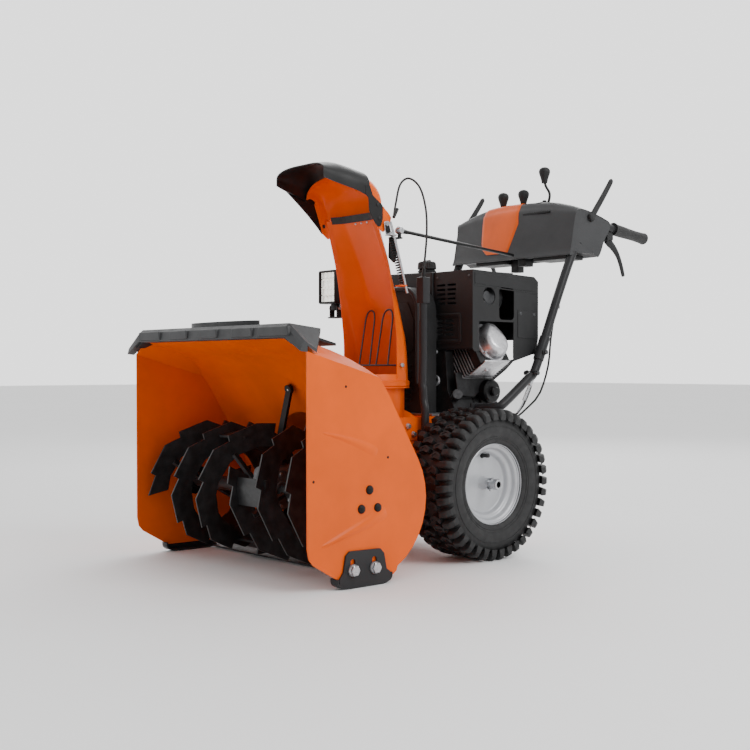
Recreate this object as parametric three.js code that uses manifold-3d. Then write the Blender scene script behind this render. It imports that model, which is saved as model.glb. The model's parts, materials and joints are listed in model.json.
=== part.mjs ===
// Two stage snowblower, in millimetres. X runs across the machine, towards the operator's left;
// the auger mouth faces -Y and +Z is up. The ground is z = 0. Inside the machine group y = 0 is
// the wheel axle; the exported group is moved along Y so that its origin is the middle of its base.
import * as THREE from "three";
import { mergeVertices } from "three/addons/utils/BufferGeometryUtils.js";
import Module from "manifold-3d";

const wasm = await Module();
wasm.setup();

// ---------------------------------------------------------------- driving dimensions
const gap = 0.4; // between neighbouring pieces that touch
const running = 1.5; // round a shaft that turns in a hole
const clearance = 6; // between moving pieces and what they pass

// auger housing
const housingWidth = 770;
const sheet = 4;
const augerY = -488;
const augerZ = 197;
const scrollRadius = 183; // outside of the back sheet round the auger
const scrollStart = -61; // degrees, where the back sheet ends above the ground
const scrollEnd = 31; // degrees, where the back sheet leaves the round
const shoulderRadius = 230; // bend from the back into the top
const topSlope = 15.7; // degrees, fall of the top sheet towards the back
const mouthY = -674;
const crownTop = 587; // top sheet at the mouth
const mouthTop = 551; // side plates at the mouth
const chamferWidth = 55;
const creaseSlope = 0.277;
const plateBottom = 19;

// impeller, its drum and the chute ring on top of it
const impellerZ = 235;
const drumRadius = 162; // inside
const drumBack = -62;
const chuteY = -172;
const neckRadius = 108; // outside
const ringRadius = 122;
const ringZ = 462;
const ringThickness = 17;

// wheels
const wheelRadius = 203;
const tyreWidth = 160;
const tyreMiddle = 265; // from the mid-plane
const rimRadius = 103;
const lugHeight = 15;
const lugCount = 20;
const wheelSides = 24; // facets round the tyre and the rim
const axleRadius = 10;

// transmission case and engine
const caseHalfWidth = 150;
const caseTop = 380;
const caseBottom = 110;
const caseBack = 150;
const enginePlate = 6;
const crankZ = 500;
const crankY = 44; // front of the crankcase
const cylinderTilt = 32; // degrees above level
const pulleyY = -25;

// handles and console
const handleX = 230;
const tubeRadius = 13;
const gripX = 262;
const gripZ = 937;
const gripLength = 165;
const consoleBottom = 848;
const leverSpacing = 86;
const leverY = 482;
const leverPivotZ = 940;

// chute
const chuteHalfWidth = 112;
const chuteWall = 3;
const backHalf = 60; // half of the flat back wall
const cheekDepth = 46; // of the slanting cheeks beside it
const hingeY = -214;
const hingeZ = 927;

// top cap
const capTop = 616;
const capFront = -697;

// ---------------------------------------------------------------- helpers
const radians = THREE.MathUtils.degToRad;
const vector = (x, y, z) => new THREE.Vector3(x, y, z);

// A closed three.js geometry as a solid that can be joined and cut, with its faces pointing out.
function solid(geometry) {
  const plain = geometry.clone();
  plain.deleteAttribute("normal");
  plain.deleteAttribute("uv");
  const merged = mergeVertices(plain, 1e-3);
  const index = merged.index.array;
  const triangles = [];
  for (let i = 0; i < index.length; i += 3) {
    const [a, b, c] = [index[i], index[i + 1], index[i + 2]];
    if (a !== b && b !== c && a !== c) triangles.push(a, b, c);
  }
  const at = (k) => vector().fromBufferAttribute(merged.getAttribute("position"), k);
  let volume = 0;
  for (let i = 0; i < triangles.length; i += 3) {
    volume += at(triangles[i]).dot(at(triangles[i + 1]).cross(at(triangles[i + 2])));
  }
  if (volume < 0) triangles.reverse();
  return new wasm.Manifold(
    new wasm.Mesh({
      numProp: 3,
      vertProperties: new Float32Array(merged.getAttribute("position").array),
      triVerts: new Uint32Array(triangles),
    }),
  );
}

const join = (first, ...rest) => rest.reduce((whole, next) => whole.add(next), first);
const cut = (first, ...rest) => rest.reduce((whole, next) => whole.subtract(next), first);

// A box between two corners, given as [x0, x1], [y0, y1], [z0, z1].
function box([x0, x1], [y0, y1], [z0, z1]) {
  const size = [Math.abs(x1 - x0), Math.abs(y1 - y0), Math.abs(z1 - z0)];
  return solid(
    new THREE.BoxGeometry(...size).translate((x0 + x1) / 2, (y0 + y1) / 2, (z0 + z1) / 2),
  );
}

// A round bar, or a cone, from one point to another.
function bar(from, to, radius, sides = 20, endRadius = radius) {
  const axis = vector(...to).sub(vector(...from));
  const geometry = new THREE.CylinderGeometry(endRadius, radius, axis.length(), sides);
  geometry.applyQuaternion(
    new THREE.Quaternion().setFromUnitVectors(vector(0, 1, 0), axis.clone().normalize()),
  );
  const middle = vector(...from).addScaledVector(axis, 0.5);
  return solid(geometry.translate(middle.x, middle.y, middle.z));
}

// A flat outline of [a, b] points given thickness along one axis, from low to high. The outline
// is in (y, z) for "x", in (x, z) for "y" and in (x, y) for "z".
function plate(axis, outline, low, high, holes = []) {
  const shape = new THREE.Shape(outline.map(([a, b]) => new THREE.Vector2(a, b)));
  for (const hole of holes) {
    shape.holes.push(new THREE.Path(hole.map(([a, b]) => new THREE.Vector2(a, b))));
  }
  const geometry = new THREE.ExtrudeGeometry(shape, { depth: high - low, bevelEnabled: false });
  const basis = new THREE.Matrix4();
  if (axis === "x") basis.makeBasis(vector(0, 1, 0), vector(0, 0, 1), vector(1, 0, 0));
  if (axis === "y") basis.makeBasis(vector(1, 0, 0), vector(0, 0, 1), vector(0, -1, 0));
  geometry.applyMatrix4(basis);
  if (axis === "x") geometry.translate(low, 0, 0);
  if (axis === "y") geometry.translate(0, high, 0);
  if (axis === "z") geometry.translate(0, 0, low);
  return solid(geometry);
}

// A profile of [radius, height] points turned about an axis that starts at a point.
function turned(profile, start, direction, sides = 28) {
  const points = profile.map(([r, h]) => new THREE.Vector2(r, h));
  const geometry = new THREE.LatheGeometry(points, sides);
  geometry.applyQuaternion(
    new THREE.Quaternion().setFromUnitVectors(vector(0, 1, 0), vector(...direction).normalize()),
  );
  return solid(geometry.translate(...start));
}

// A round tube of solid section along a smooth or a straight-sided path.
function tube(points, radius, { sides = 12, steps = 24, tension = 0.5 } = {}) {
  const path = new THREE.CatmullRomCurve3(
    points.map((p) => vector(...p)),
    false,
    "catmullrom",
    tension,
  );
  const section = new THREE.Shape(
    circle(radius, sides).map(([a, b]) => new THREE.Vector2(a, b)),
  );
  return solid(
    new THREE.ExtrudeGeometry(section, { steps, extrudePath: path, bevelEnabled: false }),
  );
}

// Points round a circle, or round an arc between two angles in degrees, both ends included.
function circle(radius, sides, [cx, cy] = [0, 0]) {
  return Array.from({ length: sides }, (_, i) => {
    const angle = (2 * Math.PI * i) / sides;
    return [cx + radius * Math.cos(angle), cy + radius * Math.sin(angle)];
  });
}

function arc([cx, cy], radius, start, end, steps) {
  return Array.from({ length: steps + 1 }, (_, i) => {
    const angle = radians(start + ((end - start) * i) / steps);
    return [cx + radius * Math.cos(angle), cy + radius * Math.sin(angle)];
  });
}

// A rectangle with round corners, centred on a point.
function roundedRectangle([cx, cy], width, height, radius, steps = 3) {
  const [a, b] = [width / 2 - radius, height / 2 - radius];
  return [
    ...arc([cx + a, cy - b], radius, -90, 0, steps),
    ...arc([cx + a, cy + b], radius, 0, 90, steps),
    ...arc([cx - a, cy + b], radius, 90, 180, steps),
    ...arc([cx - a, cy - b], radius, 180, 270, steps),
  ];
}

// A solid skinned over rings of equally many points, with a flat cap on each end ring. The second
// half of a ring is split along the other diagonal, so that a wall's two faces bend alike.
function loft(rings) {
  const count = rings[0].length;
  const positions = rings.flat().flatMap((p) => [p[0], p[1], p[2]]);
  const triangles = [];
  for (let r = 0; r + 1 < rings.length; r++) {
    for (let i = 0; i < count; i++) {
      const [a, b] = [r * count + i, r * count + ((i + 1) % count)];
      if (i < count / 2) triangles.push(a, b, b + count, a, b + count, a + count);
      else triangles.push(a, b, a + count, b, b + count, a + count);
    }
  }
  for (const [ring, first, turn] of [
    [rings[0], 0, true],
    [rings.at(-1), (rings.length - 1) * count, false],
  ]) {
    const points = ring.map((p) => vector(...p));
    const normal = vector();
    points.forEach((p, i) => normal.add(p.clone().cross(points[(i + 1) % count])));
    normal.normalize();
    const across = points[1].clone().sub(points[0]).normalize();
    const up = normal.clone().cross(across);
    const flat = points.map((p) => new THREE.Vector2(p.dot(across), p.dot(up)));
    for (const [i, j, k] of THREE.ShapeUtils.triangulateShape(flat, [])) {
      const area = flat[j].clone().sub(flat[i]).cross(flat[k].clone().sub(flat[i]));
      const forward = area > 0 ? [i, j, k] : [i, k, j];
      triangles.push(...(turn ? forward.reverse() : forward).map((n) => n + first));
    }
  }
  const geometry = new THREE.BufferGeometry();
  geometry.setAttribute("position", new THREE.Float32BufferAttribute(positions, 3));
  geometry.setIndex(triangles);
  return solid(geometry);
}

// ---------------------------------------------------------------- colours and finishes
const finish = (color, roughness, metalness) =>
  new THREE.MeshStandardMaterial({ color, roughness, metalness });
const orangePaint = () => finish(0xf26a1b, 0.4, 0.1);
const blackPaint = () => finish(0x1c1c1d, 0.5, 0.2);
const greyPlastic = () => finish(0x55575a, 0.6, 0);
const blackPlastic = () => finish(0x222325, 0.6, 0);
const castAlloy = () => finish(0x8f9194, 0.5, 0.7);
const zincSteel = () => finish(0xb9bcc0, 0.35, 0.9);
const darkSteel = () => finish(0x3a3b3d, 0.45, 0.8);
const tyreRubber = () => finish(0x19191a, 0.9, 0);
const softRubber = () => finish(0x202021, 0.8, 0);

// Adds one named mesh of a solid to a group.
function piece(group, name, shape, material) {
  const raw = shape.getMesh();
  const geometry = new THREE.BufferGeometry();
  geometry.setAttribute("position", new THREE.BufferAttribute(raw.vertProperties, 3));
  geometry.setIndex(new THREE.BufferAttribute(raw.triVerts, 1));
  geometry.computeVertexNormals();
  const mesh = new THREE.Mesh(geometry, material);
  mesh.name = name;
  group.add(mesh);
}

// A group placed at a point of its parent.
function groupAt(parent, x, y, z) {
  const group = new THREE.Group();
  group.position.set(x, y, z);
  parent.add(group);
  return group;
}

const machine = new THREE.Group();
const sides = [
  ["left", 1],
  ["right", -1],
];

// ---------------------------------------------------------------- auger housing
const auger = [augerY, augerZ];

// Centre of the bend between the back and the top: it touches the back line and the top line.
function shoulderCentre() {
  const up = [-Math.sin(radians(scrollEnd)), Math.cos(radians(scrollEnd))];
  const along = [Math.cos(radians(topSlope)), -Math.sin(radians(topSlope))];
  const [, start] = arc(auger, scrollRadius, scrollStart, scrollEnd, 1);
  const [dy, dz] = [mouthY - start[0], crownTop - start[1]];
  const cross = up[0] * along[1] - up[1] * along[0];
  const s = (dy * along[1] - dz * along[0]) / cross;
  const corner = [start[0] + up[0] * s, start[1] + up[1] * s];
  const turn = radians(90 - topSlope - scrollEnd);
  const back = shoulderRadius * Math.tan(turn / 2);
  const outward = [Math.cos(radians(scrollEnd)), Math.sin(radians(scrollEnd))];
  return [
    corner[0] - up[0] * back - outward[0] * shoulderRadius,
    corner[1] - up[1] * back - outward[1] * shoulderRadius,
  ];
}
const shoulder = shoulderCentre();
const slope = Math.tan(radians(topSlope));

// Height of the top sheet's outside at a place along Y.
const topAt = (y) => crownTop + (mouthY - y) * slope;

// The back and top of the housing in (y, z), from the bottom lip up and forward, moved inward.
function backCurve(inset) {
  return [
    ...arc(auger, scrollRadius - inset, scrollStart, scrollEnd, 9),
    ...arc(shoulder, shoulderRadius - inset, scrollEnd, 90 - topSlope, 4),
  ];
}

// Place along Y of the back's inner face at a height.
function innerBackAt(z) {
  const curve = backCurve(sheet);
  const i = curve.findIndex((p) => p[1] > z);
  const share = (z - curve[i - 1][1]) / (curve[i][1] - curve[i - 1][1]);
  return curve[i - 1][0] + share * (curve[i][0] - curve[i - 1][0]);
}

// The bevels cut off the block's upper side edges, each a block laid on the bevel's plane.
function bevel(side, inset) {
  const along = vector(0, 1, -creaseSlope);
  const across = vector(-side * chamferWidth, 0, crownTop - mouthTop);
  const normal = across.clone().cross(along).multiplyScalar(-side).normalize();
  const block = new THREE.BoxGeometry(900, 900, 300).translate(0, 0, 150 - inset);
  block.applyQuaternion(new THREE.Quaternion().setFromUnitVectors(vector(0, 0, 1), normal));
  return solid(block.translate((side * housingWidth) / 2, mouthY, mouthTop));
}

// The whole volume that the housing wraps, its walls moved inward; open ones run past the mouth.
function housingBlock(inset, open) {
  const curve = backCurve(inset);
  const reach = mouthY - 60;
  const mouth = open
    ? [[reach, topAt(reach) - inset / Math.cos(radians(topSlope))], [reach, -50]]
    : [
        [mouthY, crownTop],
        [mouthY + 2, 103],
        [mouthY + 7, 79],
        [mouthY + 20, 64],
        [mouthY + 98, plateBottom],
      ];
  const lip = open ? [[curve[0][0], -50]] : [[-413, plateBottom], [-402, 27]];
  const half = housingWidth / 2 - inset;
  const whole = plate("x", [...curve, ...mouth, ...lip], -half, half);
  return cut(whole, bevel(1, inset), bevel(-1, inset));
}

const housingOuter = housingBlock(0, false);
const housingShell = cut(housingOuter, housingBlock(sheet, true));
const plateInside = housingWidth / 2 - sheet;
const backSheet = housingShell.intersect(
  box([-plateInside + gap, plateInside - gap], [-900, 0], [-10, 800]),
);
const drumHole = bar([0, -500, impellerZ], [0, -250, impellerZ], drumRadius, 32);
piece(machine, "housing_back", cut(backSheet, drumHole), orangePaint());

// Skid shoes, and the studs on the side plates that they slide on.
const shoeX = housingWidth / 2 + gap;
const shoeMiddle = -504;
const shoeSlots = [-543, -477];
const studZ = 43;
const slotLow = 26;
const slotHigh = 69;
const slotHalf = 7;
const studRadius = 5;
const shoeThickness = 5;

// The bearings' bolts, three round the auger shaft.
const bearingBolts = arc(auger, 29, 90, 330, 2);
for (const [name, side] of sides) {
  const outside = (side * housingWidth) / 2;
  const slab = housingOuter.intersect(
    box([side * plateInside, side * (housingWidth / 2 + 1)], [-900, 0], [-10, 800]),
  );
  const holes = bearingBolts.map(([y, z]) =>
    bar([side * 370, y, z], [side * 400, y, z], 4 + running, 10),
  );
  const studs = shoeSlots.map((y) =>
    join(
      bar([outside - side, y, studZ], [outside + side * 9, y, studZ], studRadius, 12),
      bar(
        [outside + side * (shoeThickness + 1.5), y, studZ],
        [outside + side * 14, y, studZ],
        11,
        6,
      ),
    ),
  );
  piece(machine, "housing_side_" + name, join(cut(slab, ...holes), ...studs), orangePaint());

  const outline = [
    [shoeMiddle + 80, 24],
    [shoeMiddle + 76, 29],
    [shoeMiddle + 66, 36],
    [shoeMiddle + 58, 74],
    [shoeMiddle + 46, 86],
    [shoeMiddle - 48, 88],
    [shoeMiddle - 60, 78],
    [shoeMiddle - 67, 40],
    [shoeMiddle - 80, 24],
    [shoeMiddle - 78, 12],
    [shoeMiddle - 47, 0],
    [shoeMiddle + 56, 0],
    [shoeMiddle + 78, 12],
  ];
  const slots = shoeSlots.map((y) =>
    roundedRectangle(
      [y, (slotLow + slotHigh) / 2],
      2 * slotHalf,
      slotHigh - slotLow,
      slotHalf - 1,
    ),
  );
  const [inner, outer] = [side * shoeX, side * (shoeX + shoeThickness)];
  const face = plate("x", outline, Math.min(inner, outer), Math.max(inner, outer), slots);
  const foot = box([side * (shoeX - 24), outer], [shoeMiddle - 47, shoeMiddle + 56], [0, 5]);
  piece(machine, "skid_shoe_" + name, join(face, foot), blackPaint());
}

// Scraper blade along the bottom lip of the back sheet, behind the augers.
const scraperHalf = plateInside - 22;
piece(
  machine,
  "scraper_blade",
  plate(
    "x",
    [
      [-386, 36],
      [-381, 39],
      [-405, 7],
      [-450, 3],
      [-452, 7],
      [-410, 12],
    ].map(([y, z]) => [y + 7, z]),
    -scraperHalf,
    scraperHalf,
  ),
  darkSteel(),
);

// Plastic cap over the top edge of the mouth, with side wings down the bevels and a raised tray.
function capSection(x, top, low, back, drop) {
  return [
    [x, capFront + 21, low],
    [x, capFront, low + 2],
    [x, capFront + 4, top - 8],
    [x, capFront + 14, top],
    [x, back, top - drop],
    [x, back, top - drop - 8],
    [x, capFront + 21, top - 11],
  ];
}
const capHalf = 331;
const wingX = 391;
piece(
  machine,
  "top_cap",
  join(
    loft([
      capSection(-wingX, 574, 549, -650, 18),
      capSection(-capHalf, capTop, 581, -592, 10),
      capSection(capHalf, capTop, 581, -592, 10),
      capSection(wingX, 574, 549, -650, 18),
    ]),
    plate(
      "z",
      circle(1, 24).map(([x, y]) => [-22 + x * 150, -625 + y * 28]),
      capTop - 14,
      capTop + 14,
    ),
  ),
  greyPlastic(),
);

// Clean-out tool, clipped across the top sheet behind the cap.
const toolY = -575;
const toolZ = topAt(toolY) + 18;
piece(
  machine,
  "clean_out_tool",
  join(
    bar([-250, toolY, toolZ], [230, toolY, toolZ], 9, 12),
    bar([-290, toolY, toolZ], [-200, toolY, toolZ], 13, 12),
    loft(
      [
        [228, 12, 8],
        [262, 34, 5],
        [318, 40, 3],
      ].map(([x, half, thick]) => [
        [x, toolY - half, toolZ + half * 0.3 - thick],
        [x, toolY + half, toolZ - half * 0.2 - thick],
        [x, toolY + half, toolZ - half * 0.2 + thick],
        [x, toolY - half, toolZ + half * 0.3 + thick],
      ]),
    ),
  ),
  blackPlastic(),
);

// ---------------------------------------------------------------- impeller drum and chute ring
const drumWall = 4;
const neckBottom = 300;
const drumOuter = bar(
  [0, -450, impellerZ],
  [0, drumBack, impellerZ],
  drumRadius + drumWall,
  32,
);
const drumInner = bar(
  [0, -460, impellerZ],
  [0, drumBack - drumWall, impellerZ],
  drumRadius,
  32,
);
const neckOuter = bar([0, chuteY, neckBottom], [0, chuteY, ringZ], neckRadius, 28);
const neckInner = bar(
  [0, chuteY, impellerZ + 40],
  [0, chuteY, ringZ + 40],
  neckRadius - drumWall,
  28,
);
const chuteFlange = bar([0, chuteY, ringZ - 4], [0, chuteY, ringZ], ringRadius, 28);
const bearingBore = bar([0, -120, impellerZ], [0, 0, impellerZ], 12 + running, 16);
const impellerBearing = bar(
  [0, drumBack - 24, impellerZ],
  [0, drumBack - 1, impellerZ],
  30,
  20,
);
piece(
  machine,
  "impeller_drum",
  cut(
    join(cut(join(drumOuter, neckOuter, chuteFlange), drumInner, neckInner), impellerBearing),
    bearingBore,
    housingBlock(-gap, false),
  ),
  orangePaint(),
);

// ---------------------------------------------------------------- augers and gearbox
const gearboxHalf = 44;
const augerShaftRadius = 10;
const hubRadius = 19;
const augerRadius = scrollRadius - sheet - clearance;
const ribbonWidth = 62;
const ribbonPitch = 240;
const ribbonStart = 32; // from the mid-plane
const ribbonEnd = 346;
const toothDepth = 16;
const teethPerTurn = 8;
const ribbonThickness = 5;
const augerInner = gearboxHalf + clearance;
const augerOuter = plateInside - 24;
const bearingHub = 22;
const augers = groupAt(machine, 0, augerY, augerZ);

piece(
  augers,
  "auger_shaft",
  bar([-plateInside + 3, 0, 0], [plateInside - 3, 0, 0], augerShaftRadius, 20),
  darkSteel(),
);

// Angles round the auger are in degrees: 0 points forward, 90 down.
const firstTooth = -8;
const firstRibbon = { left: -24, right: -100 };
const onAuger = (x, radius, angle) => [
  x,
  -radius * Math.cos(radians(angle)),
  -radius * Math.sin(radians(angle)),
];

// One serrated ribbon from an angle near the gearbox out to the side plate. Each tooth climbs from
// its notch in a straight line, runs level and drops back sharply.
const ribbonTurn = (360 * (ribbonEnd - ribbonStart)) / ribbonPitch;
function ribbon(side, start) {
  const end = start + ribbonTurn;
  const toothTurn = 360 / teethPerTurn;
  const stations = [[start, 0]];
  const from = Math.floor((start - firstTooth) / toothTurn);
  const to = Math.ceil((end - firstTooth) / toothTurn);
  for (let tooth = from; tooth < to; tooth++) {
    for (const [share, notch] of [
      [0, 1],
      [0.34, 0],
      [0.96, 0],
    ]) {
      const angle = firstTooth + (tooth + share) * toothTurn;
      if (angle > start + 4 && angle < end - 4) stations.push([angle, notch]);
    }
  }
  stations.push([end, 0]);
  return loft(
    stations.map(([angle, notch]) => {
      const x = side * (ribbonStart + (ribbonPitch * (angle - start)) / 360);
      const [inside, outside] = [augerRadius - ribbonWidth, augerRadius - toothDepth * notch];
      const half = ribbonThickness / 2;
      return [
        onAuger(x - half, inside, angle),
        onAuger(x - half, outside, angle),
        onAuger(x + half, outside, angle),
        onAuger(x + half, inside, angle),
      ];
    }),
  );
}

// A flat plate that bridges two neighbouring ribbons, square to the radius at its middle.
function paddle(side, x, angle) {
  const half = 34;
  const middle = augerRadius - ribbonWidth / 2;
  const [cy, cz] = [-Math.cos(radians(angle)), -Math.sin(radians(angle))];
  const corner = (along, across, out) => [
    along,
    cy * (middle + out) - cz * across,
    cz * (middle + out) + cy * across,
  ];
  return loft(
    [side * x, side * (x + ribbonPitch / 2)].map((along) => [
      corner(along, -half, -3),
      corner(along, half, -3),
      corner(along, half, 3),
      corner(along, -half, 3),
    ]),
  );
}

for (const [name, side] of sides) {
  const hub = bar([side * augerInner, 0, 0], [side * augerOuter, 0, 0], hubRadius, 18);
  const hollow = bar(
    [side * (augerInner - 5), 0, 0],
    [side * (augerOuter + 5), 0, 0],
    augerShaftRadius + gap,
    20,
  );
  const starts = [firstRibbon[name], firstRibbon[name] + 180];
  const ribbons = starts.map((start) => ribbon(side, start));
  const ribbonX = (angle, start) => ribbonStart + (ribbonPitch * (angle - start)) / 360;
  // Round arms from the hub out to each ribbon, near its two ends.
  const arms = starts.flatMap((start) =>
    [start + 50, start + ribbonTurn - 40].map((angle) => {
      const x = side * ribbonX(angle, start);
      return bar([x, 0, 0], onAuger(x, augerRadius - ribbonWidth + 12, angle), 9, 6);
    }),
  );
  const paddles = starts.map((start) =>
    paddle(side, ribbonX(start + 20, start), start + 20),
  );
  piece(
    augers,
    "auger_" + name,
    cut(join(hub, ...ribbons, ...arms, ...paddles), hollow),
    blackPaint(),
  );

  const inside = side * (plateInside - gap);
  const flange = bar([inside - side * 4, 0, 0], [inside, 0, 0], 42, 16);
  const cup = bar([inside - side * bearingHub, 0, 0], [inside - side, 0, 0], 24, 16);
  const bore = bar([inside - side * 40, 0, 0], [inside, 0, 0], augerShaftRadius + running, 16);
  const bolts = bearingBolts.map(([y, z]) => {
    const [by, bz] = [y - augerY, z - augerZ];
    const outside = side * (housingWidth / 2 + gap);
    return join(
      bar([inside - side, by, bz], [outside + side * 2, by, bz], 4, 6),
      bar([outside, by, bz], [outside + side * 5, by, bz], 9, 6),
    );
  });
  piece(
    augers,
    "auger_bearing_" + name,
    join(cut(join(flange, cup), bore), ...bolts),
    blackPaint(),
  );
}

// Gearbox: a round worm wheel case with the worm's nose above it, pointing back to the impeller.
const wormZ = impellerZ - augerZ;
const gearboxBack = 112;
const noseRadius = 24;
piece(
  augers,
  "auger_gearbox",
  cut(
    join(
      bar([-gearboxHalf + 12, 0, 0], [gearboxHalf - 12, 0, 0], 52, 20),
      bar([-gearboxHalf, 0, 0], [gearboxHalf, 0, 0], 24, 14),
      bar([0, -46, wormZ], [0, gearboxBack, wormZ], noseRadius, 14),
    ),
    bar([-60, 0, 0], [60, 0, 0], augerShaftRadius + running, 20),
    bar([0, 30, wormZ], [0, gearboxBack + 10, wormZ], 12 + running, 20),
  ),
  castAlloy(),
);

// Brace from the gearbox up to the back sheet, a flat bar with a round bolted top.
const braceX = 22;
const braceZ = 459;
const braceY = innerBackAt(braceZ + 14) - gap - 4;
piece(
  machine,
  "gearbox_brace",
  join(
    loft(
      [
        [0, augerY + 22, augerZ + 70],
        [8, -470, 339],
        [braceX, braceY, braceZ - 4],
      ].map(([x, y, z]) => [
        [x - 11, y - 4, z],
        [x + 11, y - 4, z],
        [x + 11, y + 4, z],
        [x - 11, y + 4, z],
      ]),
    ),
    bar([0, augerY + 24, augerZ + 69], [0, augerY + 24, augerZ + 78], 16, 12),
    bar([braceX, braceY - 6, braceZ - 3], [braceX, braceY + 4, braceZ], 13, 14),
  ),
  blackPaint(),
);

// ---------------------------------------------------------------- impeller and its shaft
const impeller = groupAt(machine, 0, 0, impellerZ);
const impellerRadius = drumRadius - 10;
const bladeFront = -268;
const bladeBack = drumBack - drumWall - 34;
const blades = [0, 90, 180, 270].map((angle) => {
  const [c, s] = [Math.cos(radians(angle)), Math.sin(radians(angle))];
  const corner = (y, r, t) => [c * r - s * t, y, s * r + c * t];
  return loft(
    [bladeFront, bladeBack].map((y) => [
      corner(y, 20, -3),
      corner(y, impellerRadius - 16, -3),
      corner(y, impellerRadius, 14),
      corner(y, impellerRadius - 4, 17),
      corner(y, impellerRadius - 20, 3),
      corner(y, 20, 3),
    ]),
  );
});
const impellerHub = bar([0, bladeFront, 0], [0, bladeBack, 0], 26, 20);
const impellerDisc = bar([0, bladeBack - 4, 0], [0, bladeBack, 0], 96, 24);
piece(
  impeller,
  "impeller",
  cut(
    join(impellerHub, impellerDisc, ...blades),
    bar([0, -400, 0], [0, 0, 0], 12 + gap, 20),
  ),
  blackPaint(),
);

// The shaft runs from the worm back to the auger pulley, which has a groove for the belt.
const grooveDepth = 8;
const grooveHalf = 7;
function pulleyProfile(radius) {
  return [
    [0, -grooveHalf - 3],
    [radius, -grooveHalf - 3],
    [radius, -grooveHalf],
    [radius - grooveDepth, -grooveHalf + 2],
    [radius - grooveDepth, grooveHalf - 2],
    [radius, grooveHalf],
    [radius, grooveHalf + 3],
    [0, grooveHalf + 3],
  ];
}
const augerPulleyRadius = 92;
const enginePulleyRadius = 38;
piece(
  impeller,
  "impeller_shaft",
  join(
    bar([0, augerY + 34, 0], [0, pulleyY + 20, 0], 12, 20),
    turned(pulleyProfile(augerPulleyRadius), [0, pulleyY, 0], [0, 1, 0], 24),
  ),
  darkSteel(),
);

// ---------------------------------------------------------------- transmission case
const caseFront = drumBack + gap;
const beltSlot = { half: 70, front: pulleyY - 14, back: pulleyY + 14 };
const wing = [
  [caseFront + 2, caseTop],
  [-176, caseTop],
  [-186, caseTop - 10],
  [-186, 330],
  [-170, 318],
  [caseFront + 2, 318],
];
const caseShell = cut(
  box([-caseHalfWidth, caseHalfWidth], [caseFront, caseBack], [caseBottom, caseTop]),
  box(
    [-caseHalfWidth + 3, caseHalfWidth - 3],
    [caseFront + 3, caseBack - 3],
    [caseBottom - 5, caseTop - 3],
  ),
  box([-beltSlot.half, beltSlot.half], [beltSlot.front, beltSlot.back], [caseTop - 9, caseTop + 9]),
);
const wings = sides.map(([, side]) =>
  side > 0
    ? plate("x", wing, caseHalfWidth - 3, caseHalfWidth)
    : plate("x", wing, -caseHalfWidth, -caseHalfWidth + 3),
);
const axleBosses = sides.map(([, side]) =>
  bar([side * (caseHalfWidth - 14), 0, wheelRadius], [side * (caseHalfWidth + 5), 0, wheelRadius], 26),
);
piece(
  machine,
  "transmission_case",
  cut(
    join(caseShell, ...wings, ...axleBosses),
    bar([-300, 0, wheelRadius], [300, 0, wheelRadius], axleRadius + running, 16),
    bar([0, -90, impellerZ], [0, -40, impellerZ], 12 + running, 16),
  ),
  orangePaint(),
);

// ---------------------------------------------------------------- wheels
// Tyre section from bead to bead: straight-sided carcass with a gently crowned tread.
const hubFace = 20;
for (const [name, side] of sides) {
  const wheel = groupAt(machine, side * tyreMiddle, 0, wheelRadius);
  const carcass = wheelRadius - lugHeight;
  const half = tyreWidth / 2;
  const bead = rimRadius + gap;
  const tyre = turned(
    [
      [bead, -half * 0.58],
      [bead + 14, -half * 0.8],
      [bead + 45, -half * 0.9],
      [carcass - 12, -half * 0.8],
      [carcass, 0],
      [carcass - 12, half * 0.8],
      [bead + 45, half * 0.9],
      [bead + 14, half * 0.8],
      [bead, half * 0.58],
      [bead, -half * 0.58],
    ],
    [0, 0, 0],
    [1, 0, 0],
    wheelSides,
  );
  // Lugs: one bent bar for each, its middle ahead of its ends on the shoulders.
  const lean = 16;
  const lugs = Array.from({ length: lugCount }, (_, i) => {
    const angle = (2 * Math.PI * i) / lugCount;
    const corner = (x, r, t) => {
      const turn = angle + t / wheelRadius;
      return [x, -r * Math.cos(turn), r * Math.sin(turn)];
    };
    return loft(
      [
        [-half * 0.98, -lean, wheelRadius - 10],
        [0, lean, wheelRadius],
        [half * 0.98, -lean, wheelRadius - 10],
      ].map(([x, middle, r]) => [
        corner(x, carcass - 26, middle - 11),
        corner(x, r, middle - 11),
        corner(x, r, middle + 11),
        corner(x, carcass - 26, middle + 11),
      ]),
    );
  });
  piece(wheel, "tyre_" + name, join(tyre, ...lugs), tyreRubber());

  // Rim: a barrel with two steps and a dished disc near its outer end. h is away from the machine.
  const rim = [
    [axleRadius + gap, 8],
    [24, 8],
    [62, 8],
    [70, -12],
    [rimRadius - 5, -20],
    [rimRadius - 5, -half * 0.6],
    [rimRadius, -half * 0.6],
    [rimRadius, half * 0.62],
    [rimRadius + 7, half * 0.78],
    [rimRadius - 4, half * 0.7],
    [rimRadius - 9, 4],
    [76, 4],
    [68, 26],
    [26, 26],
    [26, 38],
    [axleRadius + gap, 38],
    [axleRadius + gap, 8],
  ];
  const valve = bar([0, 0, 84], [side * 34, 0, 92], 4, 6);
  piece(
    wheel,
    "rim_" + name,
    join(turned(rim, [0, 0, 0], [side, 0, 0], wheelSides), valve),
    zincSteel(),
  );

  // Half axle with its locking pin across the hub's outer end.
  const axleInner = -tyreMiddle + 14;
  const pinX = 38 + hubFace;
  piece(
    wheel,
    "axle_" + name,
    join(
      bar([side * axleInner, 0, 0], [side * (pinX + 22), 0, 0], axleRadius, 16),
      bar([side * pinX, 0, -20], [side * pinX, 0, 20], 4, 6),
      bar([side * (38 + gap), 0, 0], [side * 44, 0, 0], 18, 16),
    ),
    zincSteel(),
  );
}

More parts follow.
